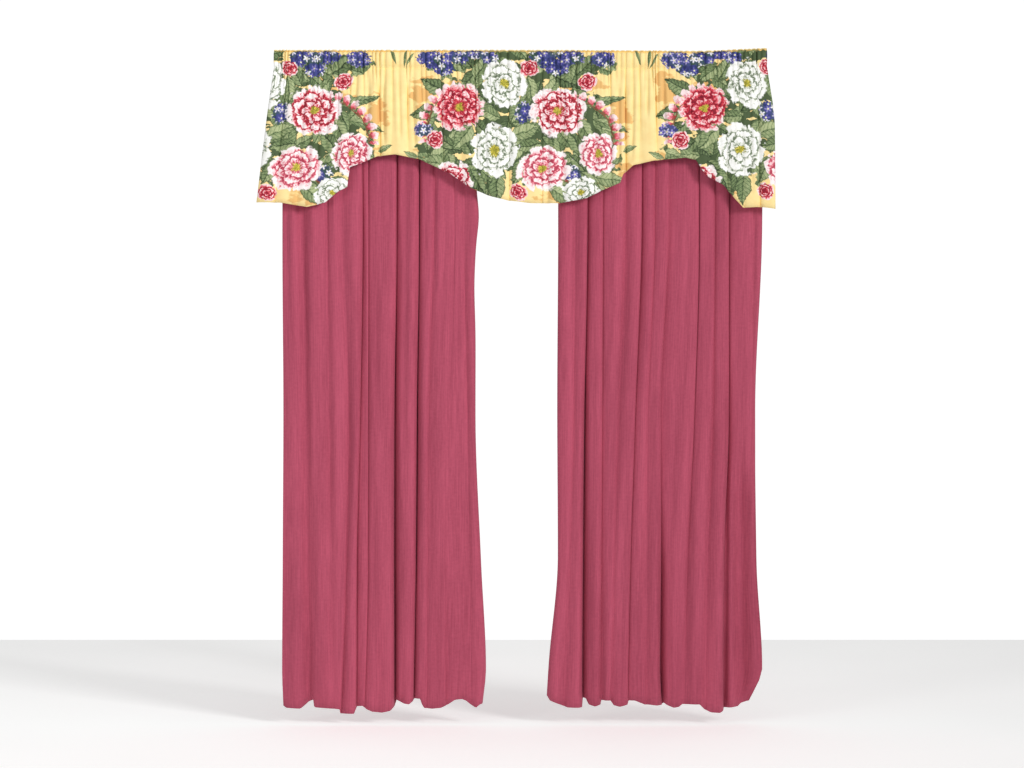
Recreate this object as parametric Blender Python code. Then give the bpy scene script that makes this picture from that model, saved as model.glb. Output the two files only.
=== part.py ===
"""A curtain set: two long gathered drapes behind a shaped valance with a rod-pocket heading.

Metres, +Z up, +X to the right as seen from the room, and the room lies towards -Y.
The origin is the middle of the valance's top edge, where the set hangs.
Each cloth is one closed sheet. Its top is turned over into a pocket that is open at both ends,
and below the pocket's stitch line it falls in the folds that the tables give.
"""

from collections import namedtuple
import math

import bmesh
import bpy
import numpy as np

MM = 0.001

# Cloth and the space between pieces
CLOTH = 2 * MM
SEAT_GAP = 0.3 * MM

# Rod pockets: an upright oval round the rod, in half sizes to the middle of the cloth's ply.
# Its angles start low on the face, pass the front, the top and the back, and end at the seam.
POCKET_HALF_DEPTH = 14 * MM
POCKET_HALF_HEIGHT = 28 * MM
POCKET_ANGLES = np.radians((-60, 0, 50, 90, 130, 180, 240))
STITCH_DROP = 58 * MM
GATHER = 2.5 * MM       # half the depth of the gathers on the pocket's face

# The plane of each pocket: the drapes' pockets sit against the back of the valance's pocket
VALANCE_POCKET_Y = 0.0
DRAPE_POCKET_Y = 2 * POCKET_HALF_DEPTH + CLOTH + SEAT_GAP + GATHER

# Front of the ridges, and how far below the stitch line the folds reach their full depth
VALANCE_FRONT_Y = -24 * MM
DRAPE_FRONT_Y = 5 * MM
VALANCE_OPENS_BY = 150 * MM
DRAPE_OPENS_BY = 300 * MM
SEAM_GATHER = 0.5       # share of the gathers' depth that is left at the stitch line
DRAPE_TOP = 0.0         # level with the origin, so that the pockets meet where they are widest

# How much narrower the valleys are than the ridges: 0 is even, 1 is pinched shut
VALANCE_BOXINESS = 0.2
DRAPE_BOXINESS = 0.5

# A crease is a valley between two ridges, in millimetres.
#   places   where it stands across the set, one value for each height in the cloth's PLACE_DROPS
#   depths   how far it lies behind the ridges, one value for each height in DEPTH_DROPS
#   lean     how far its bottom is tucked sideways under a ridge, negative to the left
#   setback  how far the ridge on its right stays behind the front line
#   notch    how far down its own hem reaches
#   drop     how far down the hem of the ridge on its right reaches
#   steps    faces across that ridge
Crease = namedtuple("Crease", "name places depths lean setback notch drop steps")

DRAPE_PLACE_DROPS = (58, 580, 1167, 1644, 1990, 2100)
DRAPE_DEPTH_DROPS = (58, 400, 1200, 2100)
DRAPE_ROW_DROPS = (58, 130, 230, 420, 700, 1000, 1300, 1600, 1820, 1990, 2100)

LEFT_DRAPE = (
    Crease("left_edge", (-772, -772, -769, -771, -773, -769), (20, 28, 28, 24), 0, 4, 2119, 2123, 4),
    Crease("outer", (-718, -717, -701, -693, -687, -686), (8, 16, 19, 25), -4, 0, 2095, 2127, 5),
    Crease("second", (-630, -626, -621, -619, -617, -617), (6, 14, 9, 4), 0, 3, 2127, 2129, 3),
    Crease("third", (-601, -582, -559, -565, -577, -582), (6, 13, 21, 26), 6, 0, 2128, 2143, 4),
    Crease("twin_left", (-516, -513, -521, -532, -533, -534), (10, 28, 25, 25), 0, 16, 2112, 2119, 2),
    Crease("twin_right", (-494, -494, -495, -495, -502, -507), (10, 28, 27, 25), 0, 2, 2112, 2137, 6),
    Crease("deepest", (-400, -400, -408, -409, -408, -408), (12, 50, 52, 48), -5, 4, 2098, 2110, 5),
    Crease("sharp", (-327, -327, -334, -337, -343, -345), (12, 44, 48, 42), 6, 2, 2092, 2124, 4),
    Crease("fading", (-276, -282, -297, -300, -301, -301), (8, 22, 17, 5), 0, 3, 2124, 2122, 4),
    Crease("broad", (-218, -216, -230, -243, -243, -243), (6, 16, 6, 16), 0, 6, 2112, 2100, 3),
    Crease("inner", (-187, -187, -178, -170, -166, -166), (6, 15, 24, 20), 0, 8, 2097, 2121, 3),
    Crease("right_edge", (-147, -147, -149, -131, -115, -126), (16, 26, 24, 16), 0, 0, 2092, 2092, 0),
)

RIGHT_DRAPE = (
    Crease("left_edge", (119, 119, 116, 118, 89, 82), (16, 26, 22, 16), 0, 6, 2085, 2104, 3),
    Crease("faint", (167, 167, 164, 150, 136, 133), (6, 12, 13, 16), 0, 2, 2118, 2126, 4),
    Crease("sharp", (216, 214, 205, 200, 198, 198), (12, 48, 52, 46), -5, 5, 2090, 2120, 4),
    Crease("third", (267, 264, 262, 259, 257, 256), (8, 25, 23, 27), 4, 3, 2095, 2098, 4),
    Crease("fourth", (337, 334, 313, 299, 292, 288), (6, 13, 15, 18), 0, 1, 2098, 2120, 4),
    Crease("fifth", (392, 389, 369, 354, 346, 345), (10, 34, 37, 34), 4, 4, 2098, 2106, 3),
    Crease("half", (433, 430, 408, 401, 398, 398), (6, 13, 11, 4), 0, 0, 2108, 2116, 4),
    Crease("opening", (483, 477, 451, 452, 450, 456), (8, 32, 34, 52), -6, 6, 2110, 2123, 5),
    Crease("seventh", (573, 573, 558, 535, 524, 521), (8, 29, 30, 25), 4, 2, 2108, 2109, 4),
    Crease("eighth", (627, 625, 617, 598, 591, 590), (6, 15, 10, 15), 0, 0, 2112, 2139, 4),
    Crease("dark", (671, 671, 672, 657, 655, 655), (10, 27, 27, 44), -5, 8, 2126, 2124, 5),
    Crease("right_edge", (782, 778, 755, 759, 777, 736), (20, 30, 30, 34), 0, 0, 2074, 2074, 0),
)

VALANCE_PLACE_DROPS = (58, 250, 500)
VALANCE_DEPTH_DROPS = (58, 200, 480)
VALANCE_ROW_DROPS = (58, 105, 180, 290, 400, 500)

VALANCE = (
    Crease("left_edge", (-797, -822, -852), (8, 8, 8), 0, 0, 0, 0, 3),
    Crease("v01", (-752, -770, -795), (6, 10, 9), 3, 2, 0, 0, 4),
    Crease("v02", (-695, -707, -722), (6, 8, 6), 0, 0, 0, 0, 4),
    Crease("v03", (-642, -650, -660), (6, 9, 8), -3, 3, 0, 0, 4),
    Crease("v04", (-590, -592, -598), (6, 7, 4), 0, 1, 0, 0, 4),
    Crease("v05", (-548, -552, -556), (6, 8, 7), -4, 4, 0, 0, 3),
    Crease("v06", (-508, -508, -505), (6, 7, 3), 0, 0, 0, 0, 4),
    Crease("v07", (-462, -458, -455), (7, 15, 15), 3, 2, 0, 0, 4),
    Crease("v08", (-415, -415, -414), (6, 6, 3), 0, 0, 0, 0, 4),
    Crease("v09", (-367, -367, -364), (7, 14, 5), 0, 2, 0, 0, 4),
    Crease("v10", (-312, -310, -305), (6, 7, 6), 0, 0, 0, 0, 4),
    Crease("v11", (-258, -255, -250), (6, 10, 9), -3, 3, 0, 0, 4),
    Crease("v12", (-205, -200, -192), (6, 7, 5), 0, 1, 0, 0, 4),
    Crease("v13", (-150, -146, -140), (6, 9, 10), 0, 0, 0, 0, 4),
    Crease("v14", (-97, -95, -90), (6, 6, 5), 0, 3, 0, 0, 4),
    Crease("v15", (-42, -42, -40), (6, 9, 9), 3, 0, 0, 0, 4),
    Crease("v16", (12, 10, 8), (6, 7, 4), 0, 2, 0, 0, 4),
    Crease("v17", (66, 66, 66), (6, 8, 9), 0, 0, 0, 0, 4),
    Crease("v18", (121, 122, 125), (6, 6, 5), 0, 3, 0, 0, 4),
    Crease("v19", (177, 180, 184), (6, 9, 8), -3, 0, 0, 0, 4),
    Crease("v20", (232, 234, 240), (6, 7, 5), 0, 2, 0, 0, 4),
    Crease("v21", (284, 286, 290), (6, 9, 9), 3, 1, 0, 0, 3),
    Crease("v22", (333, 334, 336), (7, 15, 15), 0, 2, 0, 0, 4),
    Crease("v23", (382, 380, 380), (6, 8, 4), 0, 0, 0, 0, 4),
    Crease("v24", (430, 432, 436), (7, 12, 6), 0, 2, 0, 0, 4),
    Crease("v25", (484, 488, 494), (6, 7, 6), 0, 0, 0, 0, 4),
    Crease("v26", (540, 545, 550), (6, 9, 8), 0, 3, 0, 0, 4),
    Crease("v27", (595, 600, 608), (6, 7, 6), 3, 1, 0, 0, 4),
    Crease("v28", (648, 655, 664), (6, 9, 9), 0, 0, 0, 0, 4),
    Crease("v29", (700, 708, 716), (6, 7, 7), -3, 2, 0, 0, 4),
    Crease("v30", (750, 762, 768), (6, 9, 10), 0, 0, 0, 0, 3),
    Crease("right_edge", (790, 814, 816), (8, 8, 8), 0, 0, 0, 0, 0),
)

# The valance's shaped lower edge: across, then down from the top edge, in millimetres
VALANCE_HEM = (
    (-852, 493), (-775, 494), (-688, 508), (-630, 493), (-591, 459), (-560, 444), (-552, 380),
    (-514, 367), (-463, 345), (-407, 339), (-327, 355), (-230, 401), (-166, 445), (-105, 472),
    (-44, 487), (31, 496), (120, 496), (208, 480), (258, 455), (317, 430), (326, 403),
    (359, 374), (425, 359), (524, 350), (560, 356), (590, 405), (649, 438), (688, 485),
    (712, 510), (767, 508), (816, 514),
)

# The valance's top edge isn't quite level: across, then up from the origin's height, in millimetres
VALANCE_TOP_LINE = ((-797, 0), (0, 0), (400, -2), (575, -3), (700, 2), (790, 6))

# Colours as linear red, green and blue, and roughness
ROSE_CLOTH = ((0.416, 0.075, 0.130), 0.85)
YELLOW_CLOTH = ((0.89, 0.70, 0.33), 0.82)


def clear_scene():
    """Remove whatever the scene holds."""
    for item in list(bpy.data.objects):
        bpy.data.objects.remove(item, do_unlink=True)


def smooth_line(stations, values, at):
    """Cubic through the (station, value) pairs that never swings past them.

    Its slope at a pair is the harmonic mean of the slopes on both sides, or level at a turn.
    """
    stations = np.asarray(stations, float)
    values = np.asarray(values, float)
    rise = np.diff(values) / np.diff(stations)
    before, after = rise[:-1], rise[1:]
    same_way = before * after > 0
    total = np.where(same_way, before + after, 1.0)
    inner = np.where(same_way, 2 * before * after / total, 0.0)
    slopes = np.concatenate([rise[:1], inner, rise[-1:]])
    at = np.clip(at, stations[0], stations[-1])
    left = np.clip(np.searchsorted(stations, at) - 1, 0, len(stations) - 2)
    span = stations[left + 1] - stations[left]
    t = (at - stations[left]) / span
    return ((2 * t**3 - 3 * t**2 + 1) * values[left] + (t**3 - 2 * t**2 + t) * span * slopes[left]
            + (3 * t**2 - 2 * t**3) * values[left + 1] + (t**3 - t**2) * span * slopes[left + 1])


def ease(value, low, high):
    """0 up to low, 1 from high on, and a smooth step between."""
    t = np.clip((value - low) / (high - low), 0, 1)
    return t * t * (3 - 2 * t)


def column_fractions(creases):
    """For each column of faces, the crease on its left and how far it is towards the next one."""
    fold = [i for i, crease in enumerate(creases) for _ in range(crease.steps)]
    part = [k / crease.steps for crease in creases for k in range(crease.steps)]
    return np.array(fold + [len(creases) - 2]), np.array(part + [1.0])


def fold_plan(creases, drops, place_drops, depth_drops, front_y, boxiness):
    """Where the middle of the cloth runs at each height: x and y as rows of columns, and the crest.

    Between two creases the cloth comes forward as sin(pi f), f from 0 to 1, and moves across as
    f - boxiness sin(2 pi f) / 2 pi, which makes a valley narrower than a ridge.
    """
    fold, part = column_fractions(creases)
    drops = np.asarray(drops, float)
    place = np.array([smooth_line(place_drops, c.places, drops) for c in creases]) * MM
    depth = np.array([smooth_line(depth_drops, c.depths, drops) for c in creases]) * MM
    lean = np.array([c.lean for c in creases]) * MM
    setback = np.array([c.setback for c in creases]) * MM
    crest = np.sin(math.pi * part)
    across = part - boxiness * np.sin(2 * math.pi * part) / (2 * math.pi)
    x = place[fold] + (place[fold + 1] - place[fold]) * across[:, None]
    tuck = (lean[fold] * (1 - part) + lean[fold + 1] * part) * (1 - crest)
    x = x + tuck[:, None]
    valley = depth[fold] * (1 - part)[:, None] + depth[fold + 1] * part[:, None]
    ridge = np.minimum(setback[fold][:, None], valley)
    y = front_y + valley + (ridge - valley) * crest[:, None]
    return x.T, y.T, crest


def drape_hem(creases):
    """Drop of the hem at each column: lowest on the ridges, drawn up at the creases."""
    fold, part = column_fractions(creases)
    notch = np.array([c.notch for c in creases]) * MM
    ridge = np.array([c.drop for c in creases])[fold] * MM
    between = notch[fold] * (1 - part) + notch[fold + 1] * part
    return between + (ridge - between) * np.sqrt(np.sin(math.pi * part))


def valance_hem(x):
    """Drop of the valance's shaped lower edge at x."""
    across, down = np.array(VALANCE_HEM).T * MM
    return np.interp(x, across, down)


def plan_normals(x, y):
    """Unit vectors across each row's line in plan, pointing to the cloth's back."""
    along_x = np.gradient(x, axis=1)
    along_y = np.gradient(y, axis=1)
    length = np.hypot(along_x, along_y)
    return -along_y / length, along_x / length


def pocket_oval(outwards):
    """Upright oval from above the stitch line up the face, over the top and down the turned ply."""
    forward = (POCKET_HALF_DEPTH + outwards) * np.cos(POCKET_ANGLES)
    upward = (POCKET_HALF_HEIGHT + outwards) * np.sin(POCKET_ANGLES)
    return forward, upward


def cloth_with_pocket(name, x, y, z, gather, pocket_y, top_line):
    """Mesh of one hanging cloth, from rows of points that start at its stitch line and end at its hem.

    Each column is cut through as two loops: an outer one up the face, over the pocket and down the
    back, and an inner one round the rod's space. Faces join each loop to the same loop of the
    next column, and a cap joins the two loops at either end.
    """
    columns = x.shape[1]
    rows = x.shape[0]
    nx, ny = plan_normals(x, y)
    half = CLOTH / 2
    face = np.stack([x - nx * half, y - ny * half, z], axis=-1)[::-1]
    back = np.stack([x + nx * half, y + ny * half, z], axis=-1)
    loops = []
    for outwards in (half, -half):
        forward, upward = pocket_oval(outwards)
        on_face = ease(forward, -POCKET_HALF_DEPTH, POCKET_HALF_DEPTH)
        ring = np.empty((len(POCKET_ANGLES), columns, 3))
        ring[:, :, 0] = x[0]
        ring[:, :, 1] = pocket_y - forward[:, None] + on_face[:, None] * gather
        ring[:, :, 2] = top_line - half - POCKET_HALF_HEIGHT + upward[:, None]
        loops.append(ring)
    outer = np.concatenate([face, loops[0], back])
    inner = loops[1]
    around = len(outer)
    inside = len(inner)

    def outer_index(column, k):
        return column * (around + inside) + k % around

    def inner_index(column, k):
        return column * (around + inside) + around + k % inside

    points = np.concatenate([outer, inner]).transpose(1, 0, 2).reshape(-1, 3)
    faces = []
    for j in range(columns - 1):
        for k in range(around):
            faces.append((outer_index(j, k), outer_index(j + 1, k),
                          outer_index(j + 1, k + 1), outer_index(j, k + 1)))
        for k in range(inside):
            faces.append((inner_index(j, k), inner_index(j, k + 1),
                          inner_index(j + 1, k + 1), inner_index(j + 1, k)))
    seam_face = rows - 1
    seam_back = rows + inside
    for j in (0, columns - 1):
        cap = []
        for k in range(rows - 1):
            cap.append((outer_index(j, k), outer_index(j, k + 1),
                        outer_index(j, around - 2 - k), outer_index(j, around - 1 - k)))
        for k in range(inside - 1):
            cap.append((outer_index(j, rows + k), outer_index(j, rows + k + 1),
                        inner_index(j, k + 1), inner_index(j, k)))
        first, last = inner_index(j, 0), inner_index(j, inside - 1)
        cap.append((outer_index(j, seam_face), outer_index(j, rows), first))
        cap.append((outer_index(j, seam_face), first, last))
        cap.append((outer_index(j, seam_face), last, outer_index(j, seam_back)))
        cap.append((outer_index(j, seam_back), last, outer_index(j, seam_back - 1)))
        faces += [f if j == 0 else f[::-1] for f in cap]
    mesh = bpy.data.meshes.new(name)
    mesh.from_pydata(points.tolist(), [], faces)
    return mesh


def finish_cloth(mesh, name, finish):
    """Turn the mesh's faces outwards, shade it smooth and give it its cloth."""
    work = bmesh.new()
    work.from_mesh(mesh)
    bmesh.ops.recalc_face_normals(work, faces=work.faces)
    work.to_mesh(mesh)
    work.free()
    mesh.shade_smooth()
    mesh.set_sharp_from_angle(angle=math.radians(60))
    colour, roughness = finish
    material = bpy.data.materials.new(name + "_cloth")
    material.use_nodes = True
    shader = material.node_tree.nodes["Principled BSDF"]
    shader.inputs["Base Color"].default_value = (*colour, 1.0)
    shader.inputs["Roughness"].default_value = roughness
    shader.inputs["Metallic"].default_value = 0.0
    mesh.materials.append(material)
    cloth = bpy.data.objects.new(name, mesh)
    bpy.context.collection.objects.link(cloth)
    return cloth


def hang(fold_y, crest, drops, hem_drop, pocket_y, opens_by, top_line):
    """Carry the folds up to the pocket, and put each row at its share of the way to the hem."""
    drops = np.asarray(drops, float)[:, None] * MM
    share = (drops - drops[0]) / (drops[-1] - drops[0])
    seam_z = top_line - STITCH_DROP
    z = seam_z + (-hem_drop - seam_z) * share
    gather = -GATHER * (2 * crest - 1)
    seam_y = pocket_y - POCKET_HALF_DEPTH * math.cos(POCKET_ANGLES[0]) + gather * SEAM_GATHER
    opened = ease(drops - drops[0], 0, opens_by)
    return seam_y + (fold_y - seam_y) * opened, z, gather


def build_drape(name, creases):
    """One long drape, hung in the pocket plane behind the valance's."""
    x, fold_y, crest = fold_plan(creases, DRAPE_ROW_DROPS, DRAPE_PLACE_DROPS, DRAPE_DEPTH_DROPS,
                                 DRAPE_FRONT_Y, DRAPE_BOXINESS)
    y, z, gather = hang(fold_y, crest, DRAPE_ROW_DROPS, drape_hem(creases), DRAPE_POCKET_Y,
                        DRAPE_OPENS_BY, DRAPE_TOP)
    mesh = cloth_with_pocket(name, x, y, z, gather, DRAPE_POCKET_Y, DRAPE_TOP)
    return finish_cloth(mesh, name, ROSE_CLOTH)


def build_valance(name):
    """The shaped valance, in front."""
    x, fold_y, crest = fold_plan(VALANCE, VALANCE_ROW_DROPS, VALANCE_PLACE_DROPS,
                                 VALANCE_DEPTH_DROPS, VALANCE_FRONT_Y, VALANCE_BOXINESS)
    line_x, line_up = np.array(VALANCE_TOP_LINE).T * MM
    top_line = smooth_line(line_x, line_up, x[0])
    y, z, gather = hang(fold_y, crest, VALANCE_ROW_DROPS, valance_hem(x[-1]), VALANCE_POCKET_Y,
                        VALANCE_OPENS_BY, top_line)
    mesh = cloth_with_pocket(name, x, y, z, gather, VALANCE_POCKET_Y, top_line)
    return finish_cloth(mesh, name, YELLOW_CLOTH)


def main():
    clear_scene()
    build_valance("valance")
    build_drape("left_drape", LEFT_DRAPE)
    build_drape("right_drape", RIGHT_DRAPE)


main()
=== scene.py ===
"""The dressed curtain set: two long rose drapes behind a shaped valance in printed cotton.

Metres, +Z up, +X to the right as seen from the room, which lies towards -Y. The origin is the
middle of the valance's top edge. Each cloth is one thin sheet that is turned over at its top into
a gathered rod pocket. The tables of creases are in millimetres.
"""

import logging
import math
from dataclasses import dataclass, replace
from enum import Enum

import bpy
import numpy as np
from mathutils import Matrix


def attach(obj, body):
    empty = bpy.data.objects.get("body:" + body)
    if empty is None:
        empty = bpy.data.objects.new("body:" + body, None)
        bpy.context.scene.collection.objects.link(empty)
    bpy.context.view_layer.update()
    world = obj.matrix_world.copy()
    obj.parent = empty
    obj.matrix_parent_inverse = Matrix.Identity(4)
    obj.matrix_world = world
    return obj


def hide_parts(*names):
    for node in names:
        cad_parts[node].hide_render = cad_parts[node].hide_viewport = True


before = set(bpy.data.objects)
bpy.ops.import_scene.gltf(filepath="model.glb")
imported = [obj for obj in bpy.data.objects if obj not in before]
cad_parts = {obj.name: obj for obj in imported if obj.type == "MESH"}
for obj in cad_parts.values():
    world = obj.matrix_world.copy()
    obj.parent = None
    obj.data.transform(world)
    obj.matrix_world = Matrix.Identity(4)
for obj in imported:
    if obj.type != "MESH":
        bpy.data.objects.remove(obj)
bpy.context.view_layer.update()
LOG = logging.getLogger("curtain")
MM = 0.001
CLOTH_MAP = "cloth"

# What each slow wave down a hanging cloth draws from, in millimetres
WAVE_COUNT = 9
WAVE_WIDTH = (24, 90)
DRIFT = (0.8, 2.2)
DRIFT_LENGTH = (160, 420)
STRENGTH_LENGTH = (120, 500)
ANY_PHASE = (0, 6.3)

# What the small gathers of a pocket draw from. They run down in bunches, some further than others
GATHER_STRENGTH = (0.35, 1.0)
SPARE_GATHERS = 4
BUNCH_WIDTH = 34.0
BUNCH_REACH = (0.35, 1.9)
MARGIN = 60

# Added to a cloth's seed for the random rows of its gathers and of their bunches
GATHER_ROW = 100
BUNCH_ROW = 200

# Depths at which a crease starts to lean and leans fully, and the fewest columns across a fold
LEAN_DEPTHS = (4, 30)
LEAST_COLUMNS = 8

# Steps from a place's x and y to the square of its distance from the middle, and to the distance
SQUARE = (("xx", "MULTIPLY", "x", "x"), ("rr", "MULTIPLY_ADD", "y", "y", "xx"))
DISTANCE = (*SQUARE, ("r", "SQRT", "rr"))


def linear(colour: str, alpha: float = 1.0) -> tuple[float, float, float, float]:
    """Turn an sRGB hex colour into linear red, green, blue and alpha.

    Args:
        colour: Six hex digits after a hash sign.
        alpha: Opacity, kept as it is.

    Returns:
        Each channel c as c / 12.92 up to 0.04045, and ((c + 0.055) / 1.055) ^ 2.4 above it.
    """
    channels = (int(colour[i:i + 2], 16) / 255 for i in (1, 3, 5))
    red, green, blue = (c / 12.92 if c <= 0.04045 else ((c + 0.055) / 1.055) ** 2.4 for c in channels)
    return red, green, blue, alpha


def add_node(tree: bpy.types.NodeTree, kind: str, inputs: dict | None = None, stops: tuple = (),
             **settings: object) -> bpy.types.Node:
    """Add one node, give it its settings and join its inputs.

    Args:
        tree: The material's, world's or group's tree.
        kind: The node's type, without "ShaderNode".
        inputs: A socket to join or a value to set, by the input's name or number.
        stops: A ramp's positions and hex colours.
        settings: The node's own properties.

    Returns:
        The new node.
    """
    node = tree.nodes.new("ShaderNode" + kind)
    for name, value in settings.items():
        setattr(node, name, value)
    for i, (position, colour) in enumerate(stops):
        elements = node.color_ramp.elements
        stop = elements[i] if i < 2 else elements.new(position)
        stop.position = position
        stop.color = linear(colour)
    for name, value in (inputs or {}).items():
        if isinstance(value, bpy.types.NodeSocket):
            tree.links.new(value, node.inputs[name])
        else:
            node.inputs[name].default_value = value
    return node


def work_out(tree: bpy.types.NodeTree, known: dict, steps: tuple) -> dict:
    """Add the sums of a formula, one node for each step.

    Args:
        tree: The tree that gets them.
        known: Sockets by name. It takes in each result.
        steps: Rows of a result's name, an operation and its inputs, which are numbers or names of
            earlier results. An operation with "!" after it keeps its result from 0 to 1.

    Returns:
        The sockets by name.
    """
    for result, operation, *values in steps:
        inputs = {i: known.get(v, v) if isinstance(v, str) else v for i, v in enumerate(values)}
        node = add_node(tree, "Math", inputs, operation=operation.rstrip("!"))
        if operation.endswith("!"):
            node = add_node(tree, "Clamp", {"Value": node.outputs[0]})
        known[result] = node.outputs[0]
    return known


def weave(thread_mm: float) -> tuple:
    """Steps of a plain weave's height, sin(k u) sin(k v), where k is one turn a thread spacing.

    Args:
        thread_mm: Spacing of the threads.

    Returns:
        Rows for work_out. The last result is "weave".
    """
    turns = 2 * math.pi / (thread_mm * MM)
    return (
        ("warp_turn", "MULTIPLY", "u", turns),
        ("warp", "SINE", "warp_turn"),
        ("weft_turn", "MULTIPLY", "v", turns),
        ("weft", "SINE", "weft_turn"),
        ("weave", "MULTIPLY", "warp", "weft"),
    )


def new_material(name: str, settings: dict) -> tuple[bpy.types.Material, bpy.types.Node]:
    """Make a material and set its shader's sockets.

    Args:
        name: The material's name.
        settings: Values by the socket's name.

    Returns:
        The material and its Principled shader.
    """
    material = bpy.data.materials.new(name)
    material.use_nodes = True
    shader = material.node_tree.nodes["Principled BSDF"]
    for socket, value in settings.items():
        shader.inputs[socket].default_value = value
    return material, shader


def new_group(name: str, inputs: dict, outputs: dict) -> bpy.types.NodeTree:
    """Make an empty node group with its sockets.

    Args:
        name: The group's name.
        inputs: Each input's kind, Float, Vector or Color, by its name.
        outputs: Each output's kind by its name.

    Returns:
        The group.
    """
    tree = bpy.data.node_groups.new(name, "ShaderNodeTree")
    for way, sockets in (("INPUT", inputs), ("OUTPUT", outputs)):
        for title, kind in sockets.items():
            tree.interface.new_socket(title, in_out=way, socket_type="NodeSocket" + kind)
    return tree


def put_up(name: str, data: bpy.types.ID) -> bpy.types.Object:
    """Make an object of a mesh, lamp or camera and put it in the scene.

    Args:
        name: The object's name.
        data: What it shows.

    Returns:
        The object, at the origin.
    """
    thing = bpy.data.objects.new(name, data)
    bpy.context.collection.objects.link(thing)
    return thing


def smooth_line(stations: tuple, values: tuple, at: np.ndarray) -> np.ndarray:
    """Cubic through the (station, value) pairs that never swings past them.

    Its slope at a pair is the harmonic mean of the slopes on both sides, or level at a turn.

    Args:
        stations: Where the values stand, in rising order.
        values: One value for each station.
        at: Where the line is wanted.

    Returns:
        The line's value at each of those places.
    """
    stations = np.asarray(stations, float)
    values = np.asarray(values, float)
    rise = np.diff(values) / np.diff(stations)
    before, after = rise[:-1], rise[1:]
    same_way = before * after > 0
    total = np.where(same_way, before + after, 1.0)
    inner = np.where(same_way, 2 * before * after / total, 0.0)
    slopes = np.concatenate([rise[:1], inner, rise[-1:]])
    at = np.clip(at, stations[0], stations[-1])
    left = np.clip(np.searchsorted(stations, at) - 1, 0, len(stations) - 2)
    span = stations[left + 1] - stations[left]
    t = (at - stations[left]) / span
    return ((2 * t**3 - 3 * t**2 + 1) * values[left] + (t**3 - 2 * t**2 + t) * span * slopes[left]
            + (3 * t**2 - 2 * t**3) * values[left + 1] + (t**3 - t**2) * span * slopes[left + 1])


def ease(value: np.ndarray, low: float, high: float) -> np.ndarray:
    """Smooth step 3t^2 - 2t^3 from 0 at low to 1 at high."""
    t = np.clip((np.asarray(value) - low) / (high - low), 0, 1)
    return t * t * (3 - 2 * t)


@dataclass(frozen=True)
class Crease:
    """A valley between two ridges of a hanging cloth, in millimetres.

    Attributes:
        places: Where it stands across the set, at each of the cloth's place drops.
        depths: How far it lies behind the ridges, at each of the cloth's depth drops.
        lean: How far its bottom is tucked sideways under a ridge, negative to the left.
        setback: How far the ridge on its right stays behind the front line.
    """

    places: tuple
    depths: tuple
    lean: float = 0
    setback: float = 0


@dataclass(frozen=True)
class Pleat:
    """A slight crease on top of the folds, as a bell curve pressed into the cloth, in millimetres.

    Attributes:
        top: Place across the set and drop where it starts.
        foot: Place and drop where it ends.
        depth: How far it goes back.
        width: Half its width.
    """

    top: tuple
    foot: tuple
    depth: float
    width: float

    def press(self, x: np.ndarray, drops: np.ndarray) -> np.ndarray:
        """Depth of the pleat at each point.

        It is depth * exp(-((x - line) / width)^2), where line runs straight from top to foot, and
        it fades in and out over a fifth of its length.

        Args:
            x: Places across the set, in rows, in millimetres.
            drops: Drop of each row.

        Returns:
            How far back each point moves, in millimetres.
        """
        share = (drops - self.top[1]) / (self.foot[1] - self.top[1])
        line = self.top[0] + (self.foot[0] - self.top[0]) * np.clip(share, 0, 1)
        fade = ease(share, 0.0, 0.2) * (1 - ease(share, 0.8, 1.0))
        return self.depth * fade[:, None] * np.exp(-((x - line[:, None]) / self.width) ** 2)


def deeper(pleats: tuple, times: float) -> tuple:
    """The same pleats, each so many times as deep."""
    return tuple(replace(pleat, depth=pleat.depth * times) for pleat in pleats)


LEFT_CREASES = (
    Crease((-772, -772, -769, -771, -773, -769), (10, 12, 12, 12), 0, 4),
    Crease((-718, -717, -701, -693, -687, -686), (6, 8, 8, 10), -4),
    Crease((-630, -626, -621, -619, -617, -617), (6, 12, 9, 4), 0, 3),
    Crease((-601, -582, -559, -565, -577, -582), (6, 8, 10, 14), -5),
    Crease((-516, -513, -521, -532, -533, -534), (10, 25, 22, 22), 0, 12),
    Crease((-494, -494, -495, -495, -502, -507), (10, 24, 22, 20), 0, 2),
    Crease((-400, -400, -408, -409, -408, -408), (12, 38, 48, 45), -7, 4),
    Crease((-327, -327, -334, -337, -343, -345), (12, 42, 48, 40), -8, 2),
    Crease((-276, -282, -297, -300, -301, -301), (7, 12, 8, 5), 0, 3),
    Crease((-218, -216, -230, -243, -243, -243), (6, 12, 6, 14), 0, 6),
    Crease((-187, -187, -178, -170, -166, -166), (6, 9, 8, 10), 0, 3),
    Crease((-147, -147, -149, -131, -115, -126), (16, 26, 24, 16)),
)

RIGHT_CREASES = (
    Crease((119, 119, 116, 118, 89, 82), (16, 26, 22, 16), 0, 6),
    Crease((167, 167, 164, 150, 136, 133), (5, 6, 9, 9), 0, 2),
    Crease((216, 214, 205, 200, 198, 198), (10, 32, 48, 45), -4, 5),
    Crease((267, 264, 262, 259, 257, 256), (6, 18, 17, 14), 0, 3),
    Crease((337, 334, 313, 299, 292, 288), (6, 13, 12, 11), 0, 1),
    Crease((392, 389, 369, 354, 346, 345), (10, 30, 26, 22), -4, 4),
    Crease((433, 430, 408, 401, 398, 398), (6, 13, 11, 5)),
    Crease((483, 477, 451, 452, 450, 456), (6, 13, 14, 45), -3, 6),
    Crease((573, 573, 558, 535, 524, 521), (8, 22, 18, 12), 4, 2),
    Crease((627, 625, 617, 598, 591, 590), (6, 14, 13, 10)),
    Crease((671, 671, 672, 657, 655, 655), (10, 24, 32, 45), -4, 4),
    Crease((782, 778, 755, 759, 777, 736), (20, 26, 16, 6)),
)

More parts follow.
